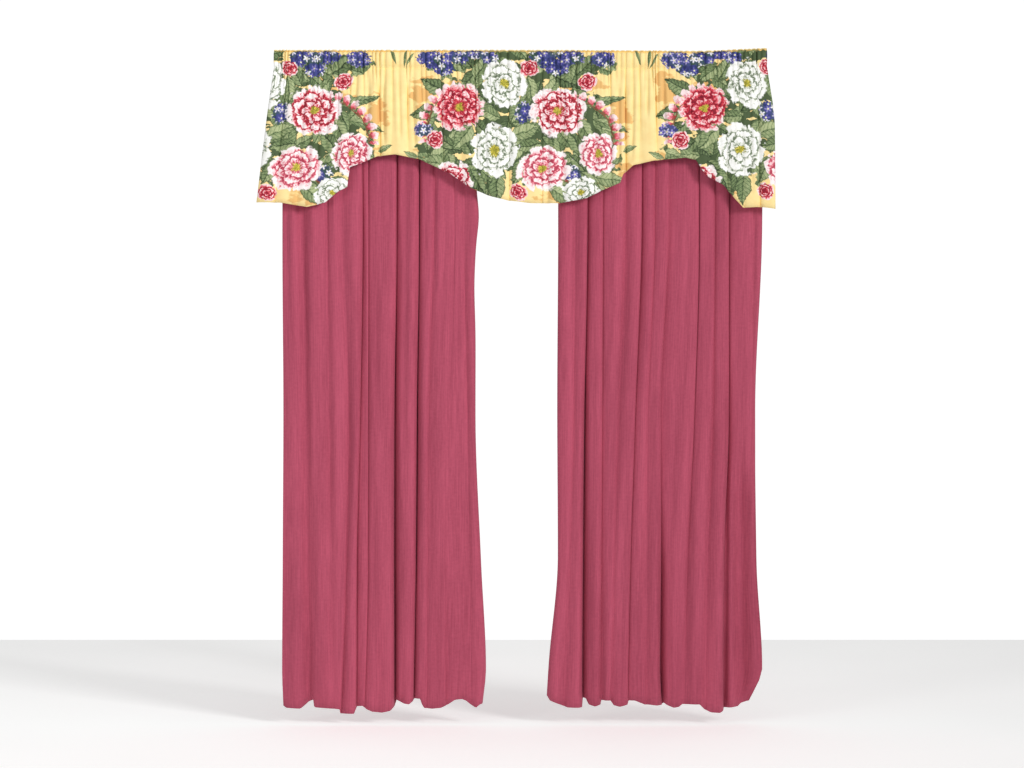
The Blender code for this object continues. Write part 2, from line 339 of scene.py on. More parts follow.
# Slight creases beside the main ones. One with its foot below the hem runs out of the cloth
LEFT_PLEATS = (
    Pleat((-408, 600), (-409, 2700), 12, 9), Pleat((-334, 200), (-344, 2300), 8, 7),
    Pleat((-706, 300), (-682, 2900), 10, 17),
)

# Low down, the right drape's outer edge curls forward out of a broad hollow
RIGHT_PLEATS = (
    Pleat((205, 800), (198, 2700), 14, 9), Pleat((451, 1400), (455, 3000), 17, 11),
    Pleat((668, 900), (655, 2700), 14, 10), Pleat((708, 1200), (714, 2500), 40, 34),
    Pleat((752, 420), (738, 1400), 8, 9),
)

# The drapes' lower edges, lowest on the ridges: across, then down from the top edge
LEFT_HEM = (
    (-770, 2114), (-759, 2122), (-714, 2124), (-704, 2117), (-688, 2103), (-671, 2095), (-669, 2119),
    (-587, 2126), (-584, 2140), (-540, 2140), (-532, 2118), (-514, 2116), (-501, 2126), (-482, 2134),
    (-450, 2137), (-424, 2131), (-411, 2118), (-404, 2097), (-395, 2100), (-379, 2108), (-363, 2110),
    (-351, 2100), (-346, 2092), (-327, 2092), (-322, 2108), (-314, 2122), (-288, 2124), (-259, 2121),
    (-237, 2111), (-214, 2096), (-192, 2093), (-179, 2098), (-166, 2109), (-147, 2121), (-135, 2111),
    (-126, 2108),
)
RIGHT_HEM = (
    (82, 2082), (92, 2098), (124, 2111), (148, 2121), (196, 2121), (199, 2092), (208, 2092),
    (217, 2111), (237, 2117), (255, 2111), (258, 2097), (287, 2098), (298, 2113), (317, 2118),
    (342, 2111), (346, 2098), (366, 2098), (398, 2111), (454, 2114), (461, 2108), (471, 2114),
    (491, 2121), (508, 2119), (519, 2110), (575, 2110), (591, 2127), (611, 2136), (640, 2137),
    (654, 2131), (656, 2124), (701, 2121), (712, 2110), (736, 2101),
)

VALANCE_CREASES = (
    Crease((-797, -822, -852), (8, 8, 8)),
    Crease((-752, -770, -795), (6, 10, 9), 3, 2),
    Crease((-695, -707, -722), (6, 8, 6)),
    Crease((-642, -650, -660), (6, 9, 8), -3, 3),
    Crease((-590, -592, -598), (6, 7, 4), 0, 1),
    Crease((-548, -552, -556), (6, 8, 7), -4, 4),
    Crease((-508, -508, -505), (6, 7, 3)),
    Crease((-462, -458, -455), (7, 15, 15), 3, 2),
    Crease((-415, -415, -414), (6, 6, 3)),
    Crease((-367, -367, -364), (7, 14, 5), 0, 2),
    Crease((-312, -310, -305), (6, 7, 6)),
    Crease((-258, -255, -250), (6, 10, 9), -3, 3),
    Crease((-205, -200, -192), (6, 7, 5), 0, 1),
    Crease((-150, -146, -140), (6, 9, 10)),
    Crease((-97, -95, -90), (6, 6, 5), 0, 3),
    Crease((-42, -42, -40), (6, 9, 9), 3),
    Crease((12, 10, 8), (6, 7, 4), 0, 2),
    Crease((66, 66, 66), (6, 8, 9)),
    Crease((121, 122, 125), (6, 6, 5), 0, 3),
    Crease((177, 180, 184), (6, 9, 8), -3),
    Crease((232, 234, 240), (6, 7, 5), 0, 2),
    Crease((284, 286, 290), (6, 9, 9), 3, 1),
    Crease((333, 334, 336), (7, 15, 15), 0, 2),
    Crease((382, 380, 380), (6, 8, 4)),
    Crease((430, 432, 436), (7, 12, 6), 0, 2),
    Crease((484, 488, 494), (6, 7, 6)),
    Crease((540, 545, 550), (6, 9, 8), 0, 3),
    Crease((595, 600, 608), (6, 7, 6), 3, 1),
    Crease((648, 655, 664), (6, 9, 9)),
    Crease((700, 708, 716), (6, 7, 7), -3, 2),
    Crease((750, 762, 768), (6, 9, 10)),
    Crease((790, 814, 816), (8, 8, 8)),
)

# The valance's shaped lower edge: across, then down from the top edge
VALANCE_HEM = (
    (-852, 493), (-775, 494), (-688, 508), (-630, 493), (-591, 459), (-560, 444), (-552, 380),
    (-514, 367), (-463, 345), (-407, 339), (-327, 355), (-230, 401), (-166, 445), (-105, 472),
    (-44, 487), (31, 496), (120, 496), (208, 480), (258, 455), (317, 430), (326, 403),
    (359, 374), (425, 359), (524, 350), (560, 356), (590, 405), (649, 438), (688, 485),
    (712, 510), (767, 508), (816, 514),
)

# Folds that run down from its gathers, first over the print's plain gaps and then over its flowers
GAP_PLEATS = (
    Pleat((-446, 60), (-441, 470), 4.5, 6), Pleat((-350, 60), (-342, 470), 4.5, 6),
    Pleat((-327, 60), (-321, 250), 3.5, 5), Pleat((-395, 60), (-389, 440), 3.0, 5),
    Pleat((-490, 60), (-494, 330), 3.5, 7), Pleat((-530, 60), (-540, 300), 3.5, 7),
    Pleat((311, 60), (313, 500), 4.5, 6), Pleat((361, 60), (355, 480), 3.5, 6),
    Pleat((406, 60), (404, 300), 3.5, 5), Pleat((456, 60), (462, 470), 4.0, 6),
)
FLOWER_PLEATS = (
    Pleat((84, 200), (84, 620), 5.0, 9), Pleat((128, 60), (136, 600), 3.5, 8),
    Pleat((-20, 60), (-14, 330), 3.5, 8), Pleat((-122, 60), (-112, 560), 4.0, 8),
    Pleat((-232, 60), (-224, 300), 3.5, 7), Pleat((-620, 60), (-634, 420), 4.0, 8),
    Pleat((-672, 60), (-690, 470), 3.5, 8), Pleat((512, 60), (524, 300), 3.5, 8),
    Pleat((568, 60), (580, 330), 4.0, 7), Pleat((622, 60), (640, 400), 3.5, 8),
    Pleat((728, 60), (742, 480), 3.5, 8),
)

# How many times deeper than their tables they are pressed, so that they show in soft light
GAP_RELIEF = 2.3
FLOWER_RELIEF = 1.75

# Its top edge isn't quite level: across, then up from the origin's height
VALANCE_TOP = ((-797, 0), (0, 0), (400, -2), (575, -3), (700, 2), (790, 6))


@dataclass
class GatheredCloth:
    """A cloth gathered on a rod pocket and hanging in folds, as one sheet.

    Sizes are in millimetres. The sheet's rows run from the hem up the face to the stitch line,
    round the pocket's oval and down its back to the stitch line again.

    Attributes:
        name: The piece's name.
        node: The CAD node that it stands for.
        creases: Its main creases from left to right.
        lower_edge: Its hem's outline.
        place_drops: Drops at which the creases' places are given.
        depth_drops: Drops at which their depths are given.
        pleats: Slight creases between them.
        relief: How many times deeper its creases are than their table says.
        front: Y of the front line of the ridges.
        pocket_y: Y of the pocket's middle.
        opens_by: How far below the stitch line the folds have their full depth.
        closes: Depths at which a crease starts to close and is as narrow as it gets.
        narrow: How much narrower valleys are than ridges in an open and in a closed crease.
        roundness: Power of the sine across an open and a closed crease: 2 is a soft wave, and
            below 1 a flat ridge falls into a sharp valley.
        skew: Above 1, a ridge rises gently on its left and falls off sharply on its right.
        crowd: How much closer columns stand in the valleys.
        column_pitch: Cloth between two columns.
        row_count: Rows on the face.
        row_crowd: Power by which they stand closer together near the stitch line.
        ripple: Depth of the slow ripples on the ridges.
        gather_pitch: Least and most width of a small gather in the pocket.
        gathers_reach: How far below the stitch line the small gathers fade.
        swell: Drop, half height and amount of each bulge in the right edge.
        flat: The cut's width and length, in metres. Not used.
        flat_area: The cut's area, in square metres. Not used.
        seed: Start of its own random row.
        half_depth: Half the pocket's depth from front to back.
        half_height: Half its height.
        inset: How far its oval hangs below the top edge.
        stitch: Drop of the stitch line below it.
        seam_at: Where that line lies from the pocket's middle, 0, to its front, 1.
        pinch: How far the cloth is drawn in there.
        bulge: How far it comes forward again below, as a multiple of the pinch.
        leaves_by: Drop over which it does so.
        least_press: Share of a slight crease's depth at the stitch line.
        header: Height of the strip above the pocket, up to a second stitch line.
        header_hold: Share of the gathers that this line's stitches hold flat.
        header_groove: Half height of the groove along it.
        strip: How far that strip stands out.
        strip_at: Drop of its fullest place, and its half height.
        gather: Depth of the small gathers.
        behind: Share of it on the pocket's back.
        top_wave: Share of it by which the top edge rises and falls.
        seam_wave: Share of it that is left at the stitch line.
        turned_gap: How far the pocket's back ends behind the stitch line.
        turns: Cloth in the turn at the pocket's start and at its end.
        thickness: The cloth's, twice the real 0.5, so that it bears being seen close up.
        pocket_rows: Arcs round the pocket's oval: from and to how many degrees up from the
            front, in how many rows.
    """

    name: str
    node: str
    creases: tuple
    lower_edge: tuple
    place_drops: tuple
    depth_drops: tuple
    pleats: tuple = ()
    relief: float = 1.0
    front: float = 0.0
    pocket_y: float = 0.0
    opens_by: float = 150.0
    closes: tuple = (6.0, 16.0)
    narrow: tuple = (0.1, 0.6)
    roundness: tuple = (2.0, 1.0)
    skew: float = 1.0
    crowd: float = 0.3
    column_pitch: float = 2.6
    row_count: int = 60
    row_crowd: float = 1.35
    ripple: float = 1.0
    gather_pitch: tuple = (15.0, 27.0)
    gathers_reach: float = 45.0
    swell: tuple = ()
    flat: tuple = (1.0, 1.0)
    flat_area: float | None = None
    seed: int = 1
    half_depth: float = 14.0
    half_height: float = 28.0
    inset: float = 1.0
    stitch: float = 58.0
    seam_at: float = 0.5
    pinch: float = 3.0
    bulge: float = 1.3
    leaves_by: float = 9.0
    least_press: float = 0.4
    header: float = 0.0
    header_hold: float = 0.8
    header_groove: float = 1.8
    strip: float = 3.0
    strip_at: tuple = (2.0, 1.5)
    gather: float = 2.5
    behind: float = 0.8
    top_wave: float = 0.25
    seam_wave: float = 0.6
    turned_gap: float = 1.6
    turns: tuple = (4.0, 5.0)
    thickness: float = 1.0
    pocket_rows: tuple = ((-55, 238, 22),)

    def columns(self) -> tuple[np.ndarray, np.ndarray]:
        """Share the columns out between the folds by the cloth that each takes.

        Returns:
            For each column, the crease on its left and how far it is towards the next one.
        """
        middle = len(self.place_drops) // 2
        deep = len(self.depth_drops) // 2
        fold, part = [], []
        for i, (left, right) in enumerate(zip(self.creases, self.creases[1:])):
            width = right.places[middle] - left.places[middle]
            cloth = math.hypot(width, left.depths[deep] + right.depths[deep])
            steps = max(LEAST_COLUMNS, round(cloth / self.column_pitch))
            share = np.arange(steps) / steps
            fold.append(np.full(steps, i))
            part.append(share - self.crowd * np.sin(2 * math.pi * share) / (2 * math.pi))
        fold.append(np.array([len(self.creases) - 2]))
        part.append(np.array([1.0]))
        return np.concatenate(fold), np.concatenate(part)

    def plan(self, drops: np.ndarray) -> tuple[np.ndarray, np.ndarray]:
        """Where the cloth runs at each height, seen from above.

        Between two creases it comes forward as sin(pi f^skew)^roundness, f from 0 to 1, and moves
        across as f - n sin(2 pi f) / 2 pi. The deeper a valley is, the narrower and sharper it
        gets. A crease's lean shifts its bottom sideways, so a ridge hangs over it.

        Args:
            drops: Drop of each row.

        Returns:
            X and y in rows.
        """
        fold, part = self.columns()
        right = part[:, None]
        place = np.array([smooth_line(self.place_drops, c.places, drops) for c in self.creases])
        depth = np.array([smooth_line(self.depth_drops, c.depths, drops) for c in self.creases])
        depth *= self.relief
        lean = np.array([c.lean for c in self.creases], float)[:, None]
        setback = np.array([c.setback for c in self.creases], float)[:, None]
        for drop, half, amount in self.swell:
            place[-1] += amount * np.exp(-((drops - drop) / half) ** 2)
        closed = ease(depth, *self.closes)
        closed = closed[fold] * (1 - right) + closed[fold + 1] * right
        narrow = self.narrow[0] + (self.narrow[1] - self.narrow[0]) * closed
        roundness = self.roundness[0] + (self.roundness[1] - self.roundness[0]) * closed
        crest = np.sin(math.pi * np.minimum(right ** self.skew, 1)) ** roundness
        across = right - narrow * np.sin(2 * math.pi * right) / (2 * math.pi)
        x = place[fold] + (place[fold + 1] - place[fold]) * across
        leaning = (lean[fold] * (1 - right) + lean[fold + 1] * right) * (1 - crest)
        x += leaning * ease(depth[fold], *LEAN_DEPTHS)
        valley = depth[fold] * (1 - right) + depth[fold + 1] * right
        y = self.front + valley + (np.minimum(setback[fold], valley) - valley) * crest
        return self.soften(x.T), self.soften(y.T)

    def soften(self, line: np.ndarray) -> np.ndarray:
        """Round the cusps: each column takes a quarter of each neighbour, three times over.

        Args:
            line: A measure of each point, in rows.

        Returns:
            The same, softer across the columns.
        """
        line = line.copy()
        for _ in range(3):
            line[:, 1:-1] = (line[:, :-2] + 2 * line[:, 1:-1] + line[:, 2:]) / 4
        return line

    def ripples(self, u: np.ndarray, drops: np.ndarray) -> np.ndarray:
        """Slow uneven waves that run down the ridges.

        They are cosines across the cloth, each with its own width, a phase that drifts down the
        cloth as a slow sine, and a strength of 0.6 + 0.4 times another. A wave of 60 mm counts
        once and a wider one more, and a third of their sum is taken.

        Args:
            u: Place of each column along the cloth.
            drops: Drop of each row.

        Returns:
            How far back each point moves, in rows.
        """
        draw = np.random.default_rng(self.seed)
        total = np.zeros((len(drops), len(u)))
        for _ in range(WAVE_COUNT):
            width = draw.uniform(*WAVE_WIDTH)
            amount = draw.uniform(*DRIFT)
            drift = amount * np.sin(drops / draw.uniform(*DRIFT_LENGTH) + draw.uniform(*ANY_PHASE))
            length = draw.uniform(*STRENGTH_LENGTH)
            strength = 0.6 + 0.4 * np.sin(drops / length + draw.uniform(*ANY_PHASE))
            wave = np.cos(2 * math.pi * u[None, :] / width + draw.uniform(*ANY_PHASE) + drift[:, None])
            total += strength[:, None] * wave * (width / 60)
        return self.ripple * total / 3

    def small_gathers(self, u: np.ndarray) -> np.ndarray:
        """The pocket's small gathers, as an uneven row of narrow dips between round ridges.

        Each is s (1 - 2 c^3), where c = (1 + cos) / 2 and s is the gather's own strength. Its
        width and strength are drawn from the cloth's random row.

        Args:
            u: Place of each column along the cloth.

        Returns:
            From -1 between gathers to 1 on a strong one, for each column.
        """
        draw = np.random.default_rng(self.seed + GATHER_ROW)
        count = int((u[-1] - u[0]) / self.gather_pitch[0]) + SPARE_GATHERS
        ends = u[0] + np.cumsum(draw.uniform(*self.gather_pitch, count)) - self.gather_pitch[1]
        strength = draw.uniform(*GATHER_STRENGTH, count)
        phase = np.interp(u, ends, np.arange(count, dtype=float))
        dip = ((1 + np.cos(2 * math.pi * phase)) / 2) ** 3
        return (1 - 2 * dip) * np.interp(u, ends, strength)

    def gather_fade(self, u: np.ndarray, drops: np.ndarray) -> np.ndarray:
        """How much of the small gathers is left below the stitch line.

        It is exp(-drop / reach), and each bunch of gathers has its own reach.

        Args:
            u: Place of each column along the cloth.
            drops: Drop of each row.

        Returns:
            A share for each point, in rows.
        """
        draw = np.random.default_rng(self.seed + BUNCH_ROW)
        posts = np.arange(u[0] - MARGIN, u[-1] + MARGIN, BUNCH_WIDTH)
        reach = np.interp(u, posts, self.gathers_reach * draw.uniform(*BUNCH_REACH, len(posts)))
        return np.exp(-((drops[:, None] - self.stitch) / reach[None, :]))

    def hem(self, x: np.ndarray) -> np.ndarray:
        """Drop of the lower edge at each column, straight between the outline's points."""
        across, down = np.array(self.lower_edge, float).T
        return np.interp(x, across, down)

    def rows(self) -> np.ndarray:
        """Drops of the face's rows, closer together near the stitch line."""
        share = np.linspace(0, 1, self.row_count)
        return self.stitch + (self.place_drops[-1] - self.stitch) * share ** self.row_crowd

    def pocket_angles(self) -> np.ndarray:
        """Where the pocket's rows stand round its oval, in degrees up from the front."""
        return np.concatenate([np.linspace(*arc) for arc in self.pocket_rows])

    def top_edge(self, x: np.ndarray) -> np.ndarray:
        """Height of the top edge at each column."""
        return np.zeros_like(x)

    def surface(self) -> tuple[np.ndarray, np.ndarray]:
        """The whole sheet as rows of points, with its threads.

        Returns:
            Points in metres, and the place of each on the flat cloth: u along it, v up it from
            the top edge.
        """
        drops = self.rows()
        x, y = self.plan(drops)
        middle = np.searchsorted(drops, self.place_drops[-1] * 0.5)
        steps = np.hypot(np.diff(x[middle]), np.diff(y[middle]))
        along = np.concatenate([[0.0], np.cumsum(steps)])
        u = x[middle][0] + along * (x[middle][-1] - x[middle][0]) / along[-1]
        small = self.small_gathers(along)

        top = self.top_edge(x[0]) + self.top_wave * self.gather * small
        hem = self.hem(x[-1])
        share = ((drops - drops[0]) / (drops[-1] - drops[0]))[:, None]
        seam_z = top - self.stitch
        face_z = seam_z + (-hem - seam_z) * share
        seam_y = self.pocket_y - self.half_depth * self.seam_at + self.pinch
        seam_y = seam_y - self.gather * small * self.seam_wave
        opened = ease(drops - self.stitch, 0, self.opens_by)[:, None]
        started = 1 - np.exp(-(drops - self.stitch) / self.leaves_by)[:, None]
        bulge = self.pinch * self.bulge
        face_y = seam_y - bulge * started + (y - seam_y + bulge) * opened
        face_y = face_y + self.ripples(along, drops) * opened
        left = self.gather_fade(along, drops) - (1 - opened) * self.seam_wave
        face_y = face_y - self.gather * small * left * started
        for pleat in self.pleats:
            face_y = face_y + pleat.press(x, drops) * np.maximum(opened, self.least_press)

        angle = np.radians(self.pocket_angles())[:, None]
        forward = self.half_depth * np.cos(angle)
        on_face = self.behind + (1 - self.behind) * ease(forward, -self.half_depth, self.half_depth)
        down = self.half_height * (1 - np.sin(angle))
        held, strip = 0.0, 0.0
        if self.header:
            fullest, half = self.strip_at
            held = self.header_hold * np.exp(-((down - self.header) / self.header_groove) ** 2)
            strip = self.strip * np.exp(-((down - fullest) / half) ** 2) * np.sign(forward)
        pocket_x = np.broadcast_to(x[0], (len(angle), x.shape[1]))
        pocket_y = self.pocket_y - strip - (forward + on_face * self.gather * small) * (1 - held)
        pocket_z = top - self.inset - down

        gx = np.concatenate([x[::-1], pocket_x, x[:1]])
        gy = np.concatenate([face_y[::-1], pocket_y, seam_y[None, :] + self.turned_gap])
        gz = np.concatenate([face_z[::-1], pocket_z, seam_z[None, :]])
        round_it = np.hypot(np.diff(pocket_y, axis=0), np.diff(pocket_z, axis=0)).mean(axis=1)
        over = np.cumsum([self.turns[0], *round_it, self.turns[1]])[:, None] - self.stitch
        v = np.concatenate([face_z[::-1] - top, np.broadcast_to(over, (len(over), x.shape[1]))])
        points = np.stack([gx, gy, gz], axis=-1) * MM
        threads = np.stack([np.broadcast_to(u, v.shape), v], axis=-1) * MM
        return points, threads

    def build(self) -> bpy.types.Object:
        """Make the sheet's mesh and object, with its thickness.

        Returns:
            The object, at the origin.
        """
        points, threads = self.surface()
        rows, columns = points.shape[:2]
        index = np.arange(rows * columns).reshape(rows, columns)
        quads = np.stack([index[:-1, :-1], index[:-1, 1:], index[1:, 1:], index[1:, :-1]], axis=-1)
        corners = quads.reshape(-1)
        mesh = bpy.data.meshes.new(self.name)
        mesh.vertices.add(rows * columns)
        mesh.vertices.foreach_set("co", points.reshape(-1).astype(np.float32))
        mesh.loops.add(len(corners))
        mesh.loops.foreach_set("vertex_index", corners.astype(np.int32))
        mesh.polygons.add(len(corners) // 4)
        mesh.polygons.foreach_set("loop_start", np.arange(0, len(corners), 4, dtype=np.int32))
        mesh.update(calc_edges=True)
        layer = mesh.uv_layers.new(name=CLOTH_MAP)
        layer.uv.foreach_set("vector", threads.reshape(-1, 2)[corners].reshape(-1).astype(np.float32))
        mesh.shade_smooth()
        piece = put_up(self.name, mesh)
        ply = piece.modifiers.new("ply", "SOLIDIFY")
        ply.thickness = self.thickness * MM
        ply.offset = 0.0
        return piece

    def dress(self, piece: bpy.types.Object, cloth: bpy.types.Material, slot: str,
              wrong_side: bpy.types.Material | None = None) -> None:
        """Give the sheet its cloth, hang it from the root, hide the CAD part that it stands for and log its
        faces.

        Args:
            piece: The sheet.
            cloth: Its material.
            slot: Not used.
            wrong_side: Material of its inner face, where that looks different.
        """
        piece.data.materials.append(cloth)
        if wrong_side:
            piece.data.materials.append(wrong_side)
            piece.modifiers["ply"].material_offset = 1
        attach(piece, "root")
        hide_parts(self.node)
        LOG.info("%s: %d faces", self.name, len(piece.data.polygons))


@dataclass
class Drape(GatheredCloth):
    """A long plain drape, behind the valance."""

    place_drops: tuple = (58, 580, 1167, 1644, 1990, 2100)
    depth_drops: tuple = (58, 400, 1200, 2100)
    front: float = 5.0
    pocket_y: float = 32.8
    opens_by: float = 300.0
    closes: tuple = (6.0, 24.0)
    narrow: tuple = (0.35, 0.85)
    roundness: tuple = (1.4, 0.5)
    skew: float = 1.35
    crowd: float = 0.75
    column_pitch: float = 1.8
    row_count: int = 80
    ripple: float = 3.2
    flat: tuple = (0.98, 2.31)
    pocket_rows: tuple = ((-55, 238, 12),)


@dataclass
class Valance(GatheredCloth):
    """The shaped valance, in front. Its pocket's rows are closest round the header's stitches."""

    lower_edge: tuple = VALANCE_HEM
    place_drops: tuple = (58, 250, 500)
    depth_drops: tuple = (58, 200, 480)
    pleats: tuple = deeper(GAP_PLEATS, GAP_RELIEF) + deeper(FLOWER_PLEATS, FLOWER_RELIEF)
    relief: float = 1.35
    front: float = -30.0
    column_pitch: float = 2.2
    row_count: int = 34
    ripple: float = 1.5
    gather_pitch: tuple = (9.0, 29.0)
    gathers_reach: float = 75.0
    closes: tuple = (4.0, 13.0)
    narrow: tuple = (0.2, 0.7)
    roundness: tuple = (1.6, 0.8)
    skew: float = 1.2
    flat: tuple = (1.85, 0.60)
    flat_area: float | None = 0.95
    pinch: float = 5.0
    header: float = 5.5
    gather: float = 5.2
    behind: float = 0.35
    pocket_rows: tuple = ((-55, 42, 8), (48, 74, 8), (84, 238, 7))

    def top_edge(self, x: np.ndarray) -> np.ndarray:
        """Height of the top edge, a smooth line through the table's points."""
        across, up = np.array(VALANCE_TOP, float).T
        return smooth_line(across, up, x)


@dataclass(frozen=True)
class RoseCotton:
    """Plain-woven cotton, dyed rose: matt, with fine upright slubs, a soft nap, and broad stripes that are
    partly uneven dye and partly painted light and shade.

    Attributes:
        dark: Colour in the thin places of a slub, and in the darker broad stripes, which are partly painted
            shade.
        light: Colour on its thick ones, and in the lighter broad stripes, which are partly painted light.
        roughness: Matt, as undressed cotton is.
        slub_mm: Width and length of a slub. Real ones are 0.5 mm wide, which is too fine to show.
        dye_and_shade_bands: Broad uneven stripes in a metre, across and along the cloth: partly uneven dye
            and partly painted light and shade of the ridges' slow undulations.
        nap: Tufts of the nap in a metre.
        thread_mm: Spacing of the threads, three times the real 0.5 mm, so that it shows close up.
    """

    dark: str = "#A14359"
    light: str = "#BB536B"
    roughness: float = 0.88
    slub_mm: tuple = (2.4, 110.0)
    dye_and_shade_bands: tuple = (36.0, 1.3)
    nap: float = 130.0
    thread_mm: float = 1.5

    def build(self) -> bpy.types.Material:
        """Make the material.

        Returns:
            A Principled surface whose colour and bump follow the cloth's own map.
        """
        material, cloth = new_material("rose_woven_cotton", {
            "Roughness": self.roughness, "Specular IOR Level": 0.25, "Sheen Weight": 0.12,
            "Sheen Roughness": 0.6, "Sheen Tint": linear("#E6A3B4")})
        tree = material.node_tree
        where = add_node(tree, "UVMap", uv_map=CLOTH_MAP).outputs["UV"]
        threads = add_node(tree, "Mapping", {"Vector": where, "Scale": (
            1 / (self.slub_mm[0] * MM), 1 / (self.slub_mm[1] * MM), 1)})
        slub = add_node(tree, "TexNoise", {"Vector": threads.outputs[0], "Scale": 1.0, "Detail": 3.0,
                                           "Roughness": 0.6}, noise_dimensions="2D")
        # Broad stripes, partly uneven dye and partly painted light and shade of the ridges' slow undulations.
        broad = add_node(tree, "Mapping", {"Vector": where, "Scale": (*self.dye_and_shade_bands, 1)})
        dye_and_shade_bands = add_node(tree, "TexNoise", {"Vector": broad.outputs[0], "Scale": 1.0, "Detail": 2.0},
                         noise_dimensions="2D")
        nap = add_node(tree, "TexNoise", {"Vector": where, "Scale": self.nap, "Detail": 3.0},
                       noise_dimensions="2D")
        known = {"slub": slub.outputs["Fac"], "dye_and_shade_bands": dye_and_shade_bands.outputs["Fac"], "nap": nap.outputs["Fac"]}
        # Mixed into the tone, the broad stripes lighten and darken the rose as painted light and shade, on
        # top of the slubs and the nap.
        work_out(tree, known, (
            ("both", "MULTIPLY_ADD", "slub", 0.45, 0.0),
            ("more", "MULTIPLY_ADD", "dye_and_shade_bands", 0.37, "both"),
            ("tone", "MULTIPLY_ADD!", "nap", 0.18, "more"),
        ))
        colour = add_node(tree, "ValToRGB", {"Fac": known["tone"]},
                          stops=((0.36, self.dark), (0.64, self.light)))
        tree.links.new(colour.outputs["Color"], cloth.inputs["Base Color"])
        place = add_node(tree, "SeparateXYZ", {"Vector": where})
        known.update(u=place.outputs["X"], v=place.outputs["Y"])
        work_out(tree, known, (*weave(self.thread_mm), ("height", "MULTIPLY_ADD", "slub", 2.0, "weave")))
        bump = add_node(tree, "Bump", {"Height": known["height"], "Strength": 0.35, "Distance": 0.1 * MM})
        tree.links.new(bump.outputs["Normal"], cloth.inputs["Normal"])
        return material


class Bloom(Enum):
    """The print's kinds of flower: petal colours from the shade at their foot to their edge."""

    WHITE = ((0.05, "#6C7A62"), (0.26, "#C3CAB8"), (0.46, "#F0F0E9"), (0.8, "#FDFDFA"))
    STRIPED = ((0.05, "#8F1C2D"), (0.34, "#D03548"), (0.52, "#F0AEB5"), (0.8, "#FCF3F2"))
    CRIMSON = ((0.05, "#85142A"), (0.40, "#CD2A3C"), (0.62, "#E97884"), (0.88, "#FAE6E5"))
    PINK = ((0.05, "#B03A50"), (0.30, "#E26F80"), (0.52, "#F4BEC4"), (0.8, "#FEF4F3"))


@dataclass(frozen=True)
class Place:
    """Where a motif lies in the print's repeat, in millimetres.

    Attributes:
        u: Across, from the repeat's left end.
        down: Down from the valance's top edge.
        length: Its half length or radius.
        width: Its half width or radius.
        turn: Turned left by that many degrees.
        seed: A number for each motif. Not used.
    """

    u: float
    down: float
    length: float
    width: float
    turn: float = 0.0
    seed: float = 0.0


BLOOMS = (
    (Bloom.STRIPED, 6, Place(166, 424, 74, 62, 20, 1)),
    (Bloom.PINK, 6, Place(462, 384, 84, 74, 200, 2)),
    (Bloom.CRIMSON, 8, Place(196, 186, 86, 78, 30, 3)),
    (Bloom.WHITE, 5, Place(338, 112, 82, 70, 100, 4)),
    (Bloom.STRIPED, 6, Place(506, 202, 92, 82, 160, 5)),
    (Bloom.WHITE, 6, Place(306, 326, 90, 80, 250, 6)),
    (Bloom.PINK, 7, Place(628, 338, 72, 62, 80, 7)),
    (Bloom.CRIMSON, 4, Place(416, 62, 32, 27, 0, 8)),
    (Bloom.CRIMSON, 4, Place(118, 292, 32, 28, 70, 9)),
    (Bloom.CRIMSON, 4, Place(384, 462, 33, 27, 150, 10)),
    (Bloom.CRIMSON, 4, Place(600, 104, 33, 28, 40, 11)),
    (Bloom.WHITE, 5, Place(574, 462, 60, 52, 20, 12)),
)

LEAVES = (
    Place(120, 120, 52, 56, 150, 1), Place(92, 205, 50, 54, 190, 2), Place(270, 60, 44, 50, 60, 3),
    Place(420, 130, 46, 50, 280, 4), Place(405, 265, 50, 56, 20, 5), Place(600, 50, 48, 50, 40, 6),
    Place(650, 168, 76, 34, 12, 7), Place(590, 262, 50, 54, 300, 8), Place(205, 285, 50, 56, 230, 9),
    Place(108, 366, 54, 56, 170, 10), Place(250, 430, 50, 54, 300, 11), Place(312, 452, 52, 56, 265, 12),
    Place(388, 392, 50, 54, 240, 13), Place(520, 470, 52, 56, 330, 14), Place(668, 420, 50, 52, 350, 15),
    Place(560, 300, 46, 52, 120, 16), Place(414, 312, 44, 50, 190, 17), Place(676, 246, 66, 30, 342, 18),
    Place(84, 474, 48, 50, 250, 19), Place(640, 474, 48, 52, 290, 20),
)

CLUSTERS = (
    Place(110, 30, 46, 30), Place(150, 56, 38, 30), Place(196, 24, 44, 26), Place(252, 14, 46, 20),
    Place(296, 30, 26, 20), Place(462, 28, 46, 30), Place(502, 58, 38, 30), Place(546, 24, 46, 26),
    Place(648, 30, 40, 28), Place(82, 262, 28, 24), Place(400, 206, 28, 34), Place(548, 400, 28, 26),
    Place(232, 500, 40, 24),
)

SPRAYS = (
    Place(548, 300, 132, 132, 42, 1), Place(228, 262, 132, 132, 150, 2), Place(470, 530, 120, 120, 60, 3),
)

SPRIGS = (
    Place(20, 26, 34, 12, 262, 21), Place(768, 22, 30, 11, 285, 22), Place(38, 36, 30, 10, 235, 23),
    Place(736, 320, 30, 22, 20, 24), Place(40, 340, 28, 20, 160, 25),
)

PATCHES = (
    Place(84, 130, 44, 80), Place(706, 220, 50, 80), Place(712, 410, 44, 90), Place(66, 410, 50, 80),
    Place(250, 120, 90, 120), Place(560, 470, 120, 60), Place(180, 470, 120, 60), Place(560, 120, 90, 110),
)

THICKETS = (
    Place(392, 230, 256, 200), Place(205, 340, 140, 170), Place(580, 330, 120, 170), Place(392, 60, 290, 60),
)


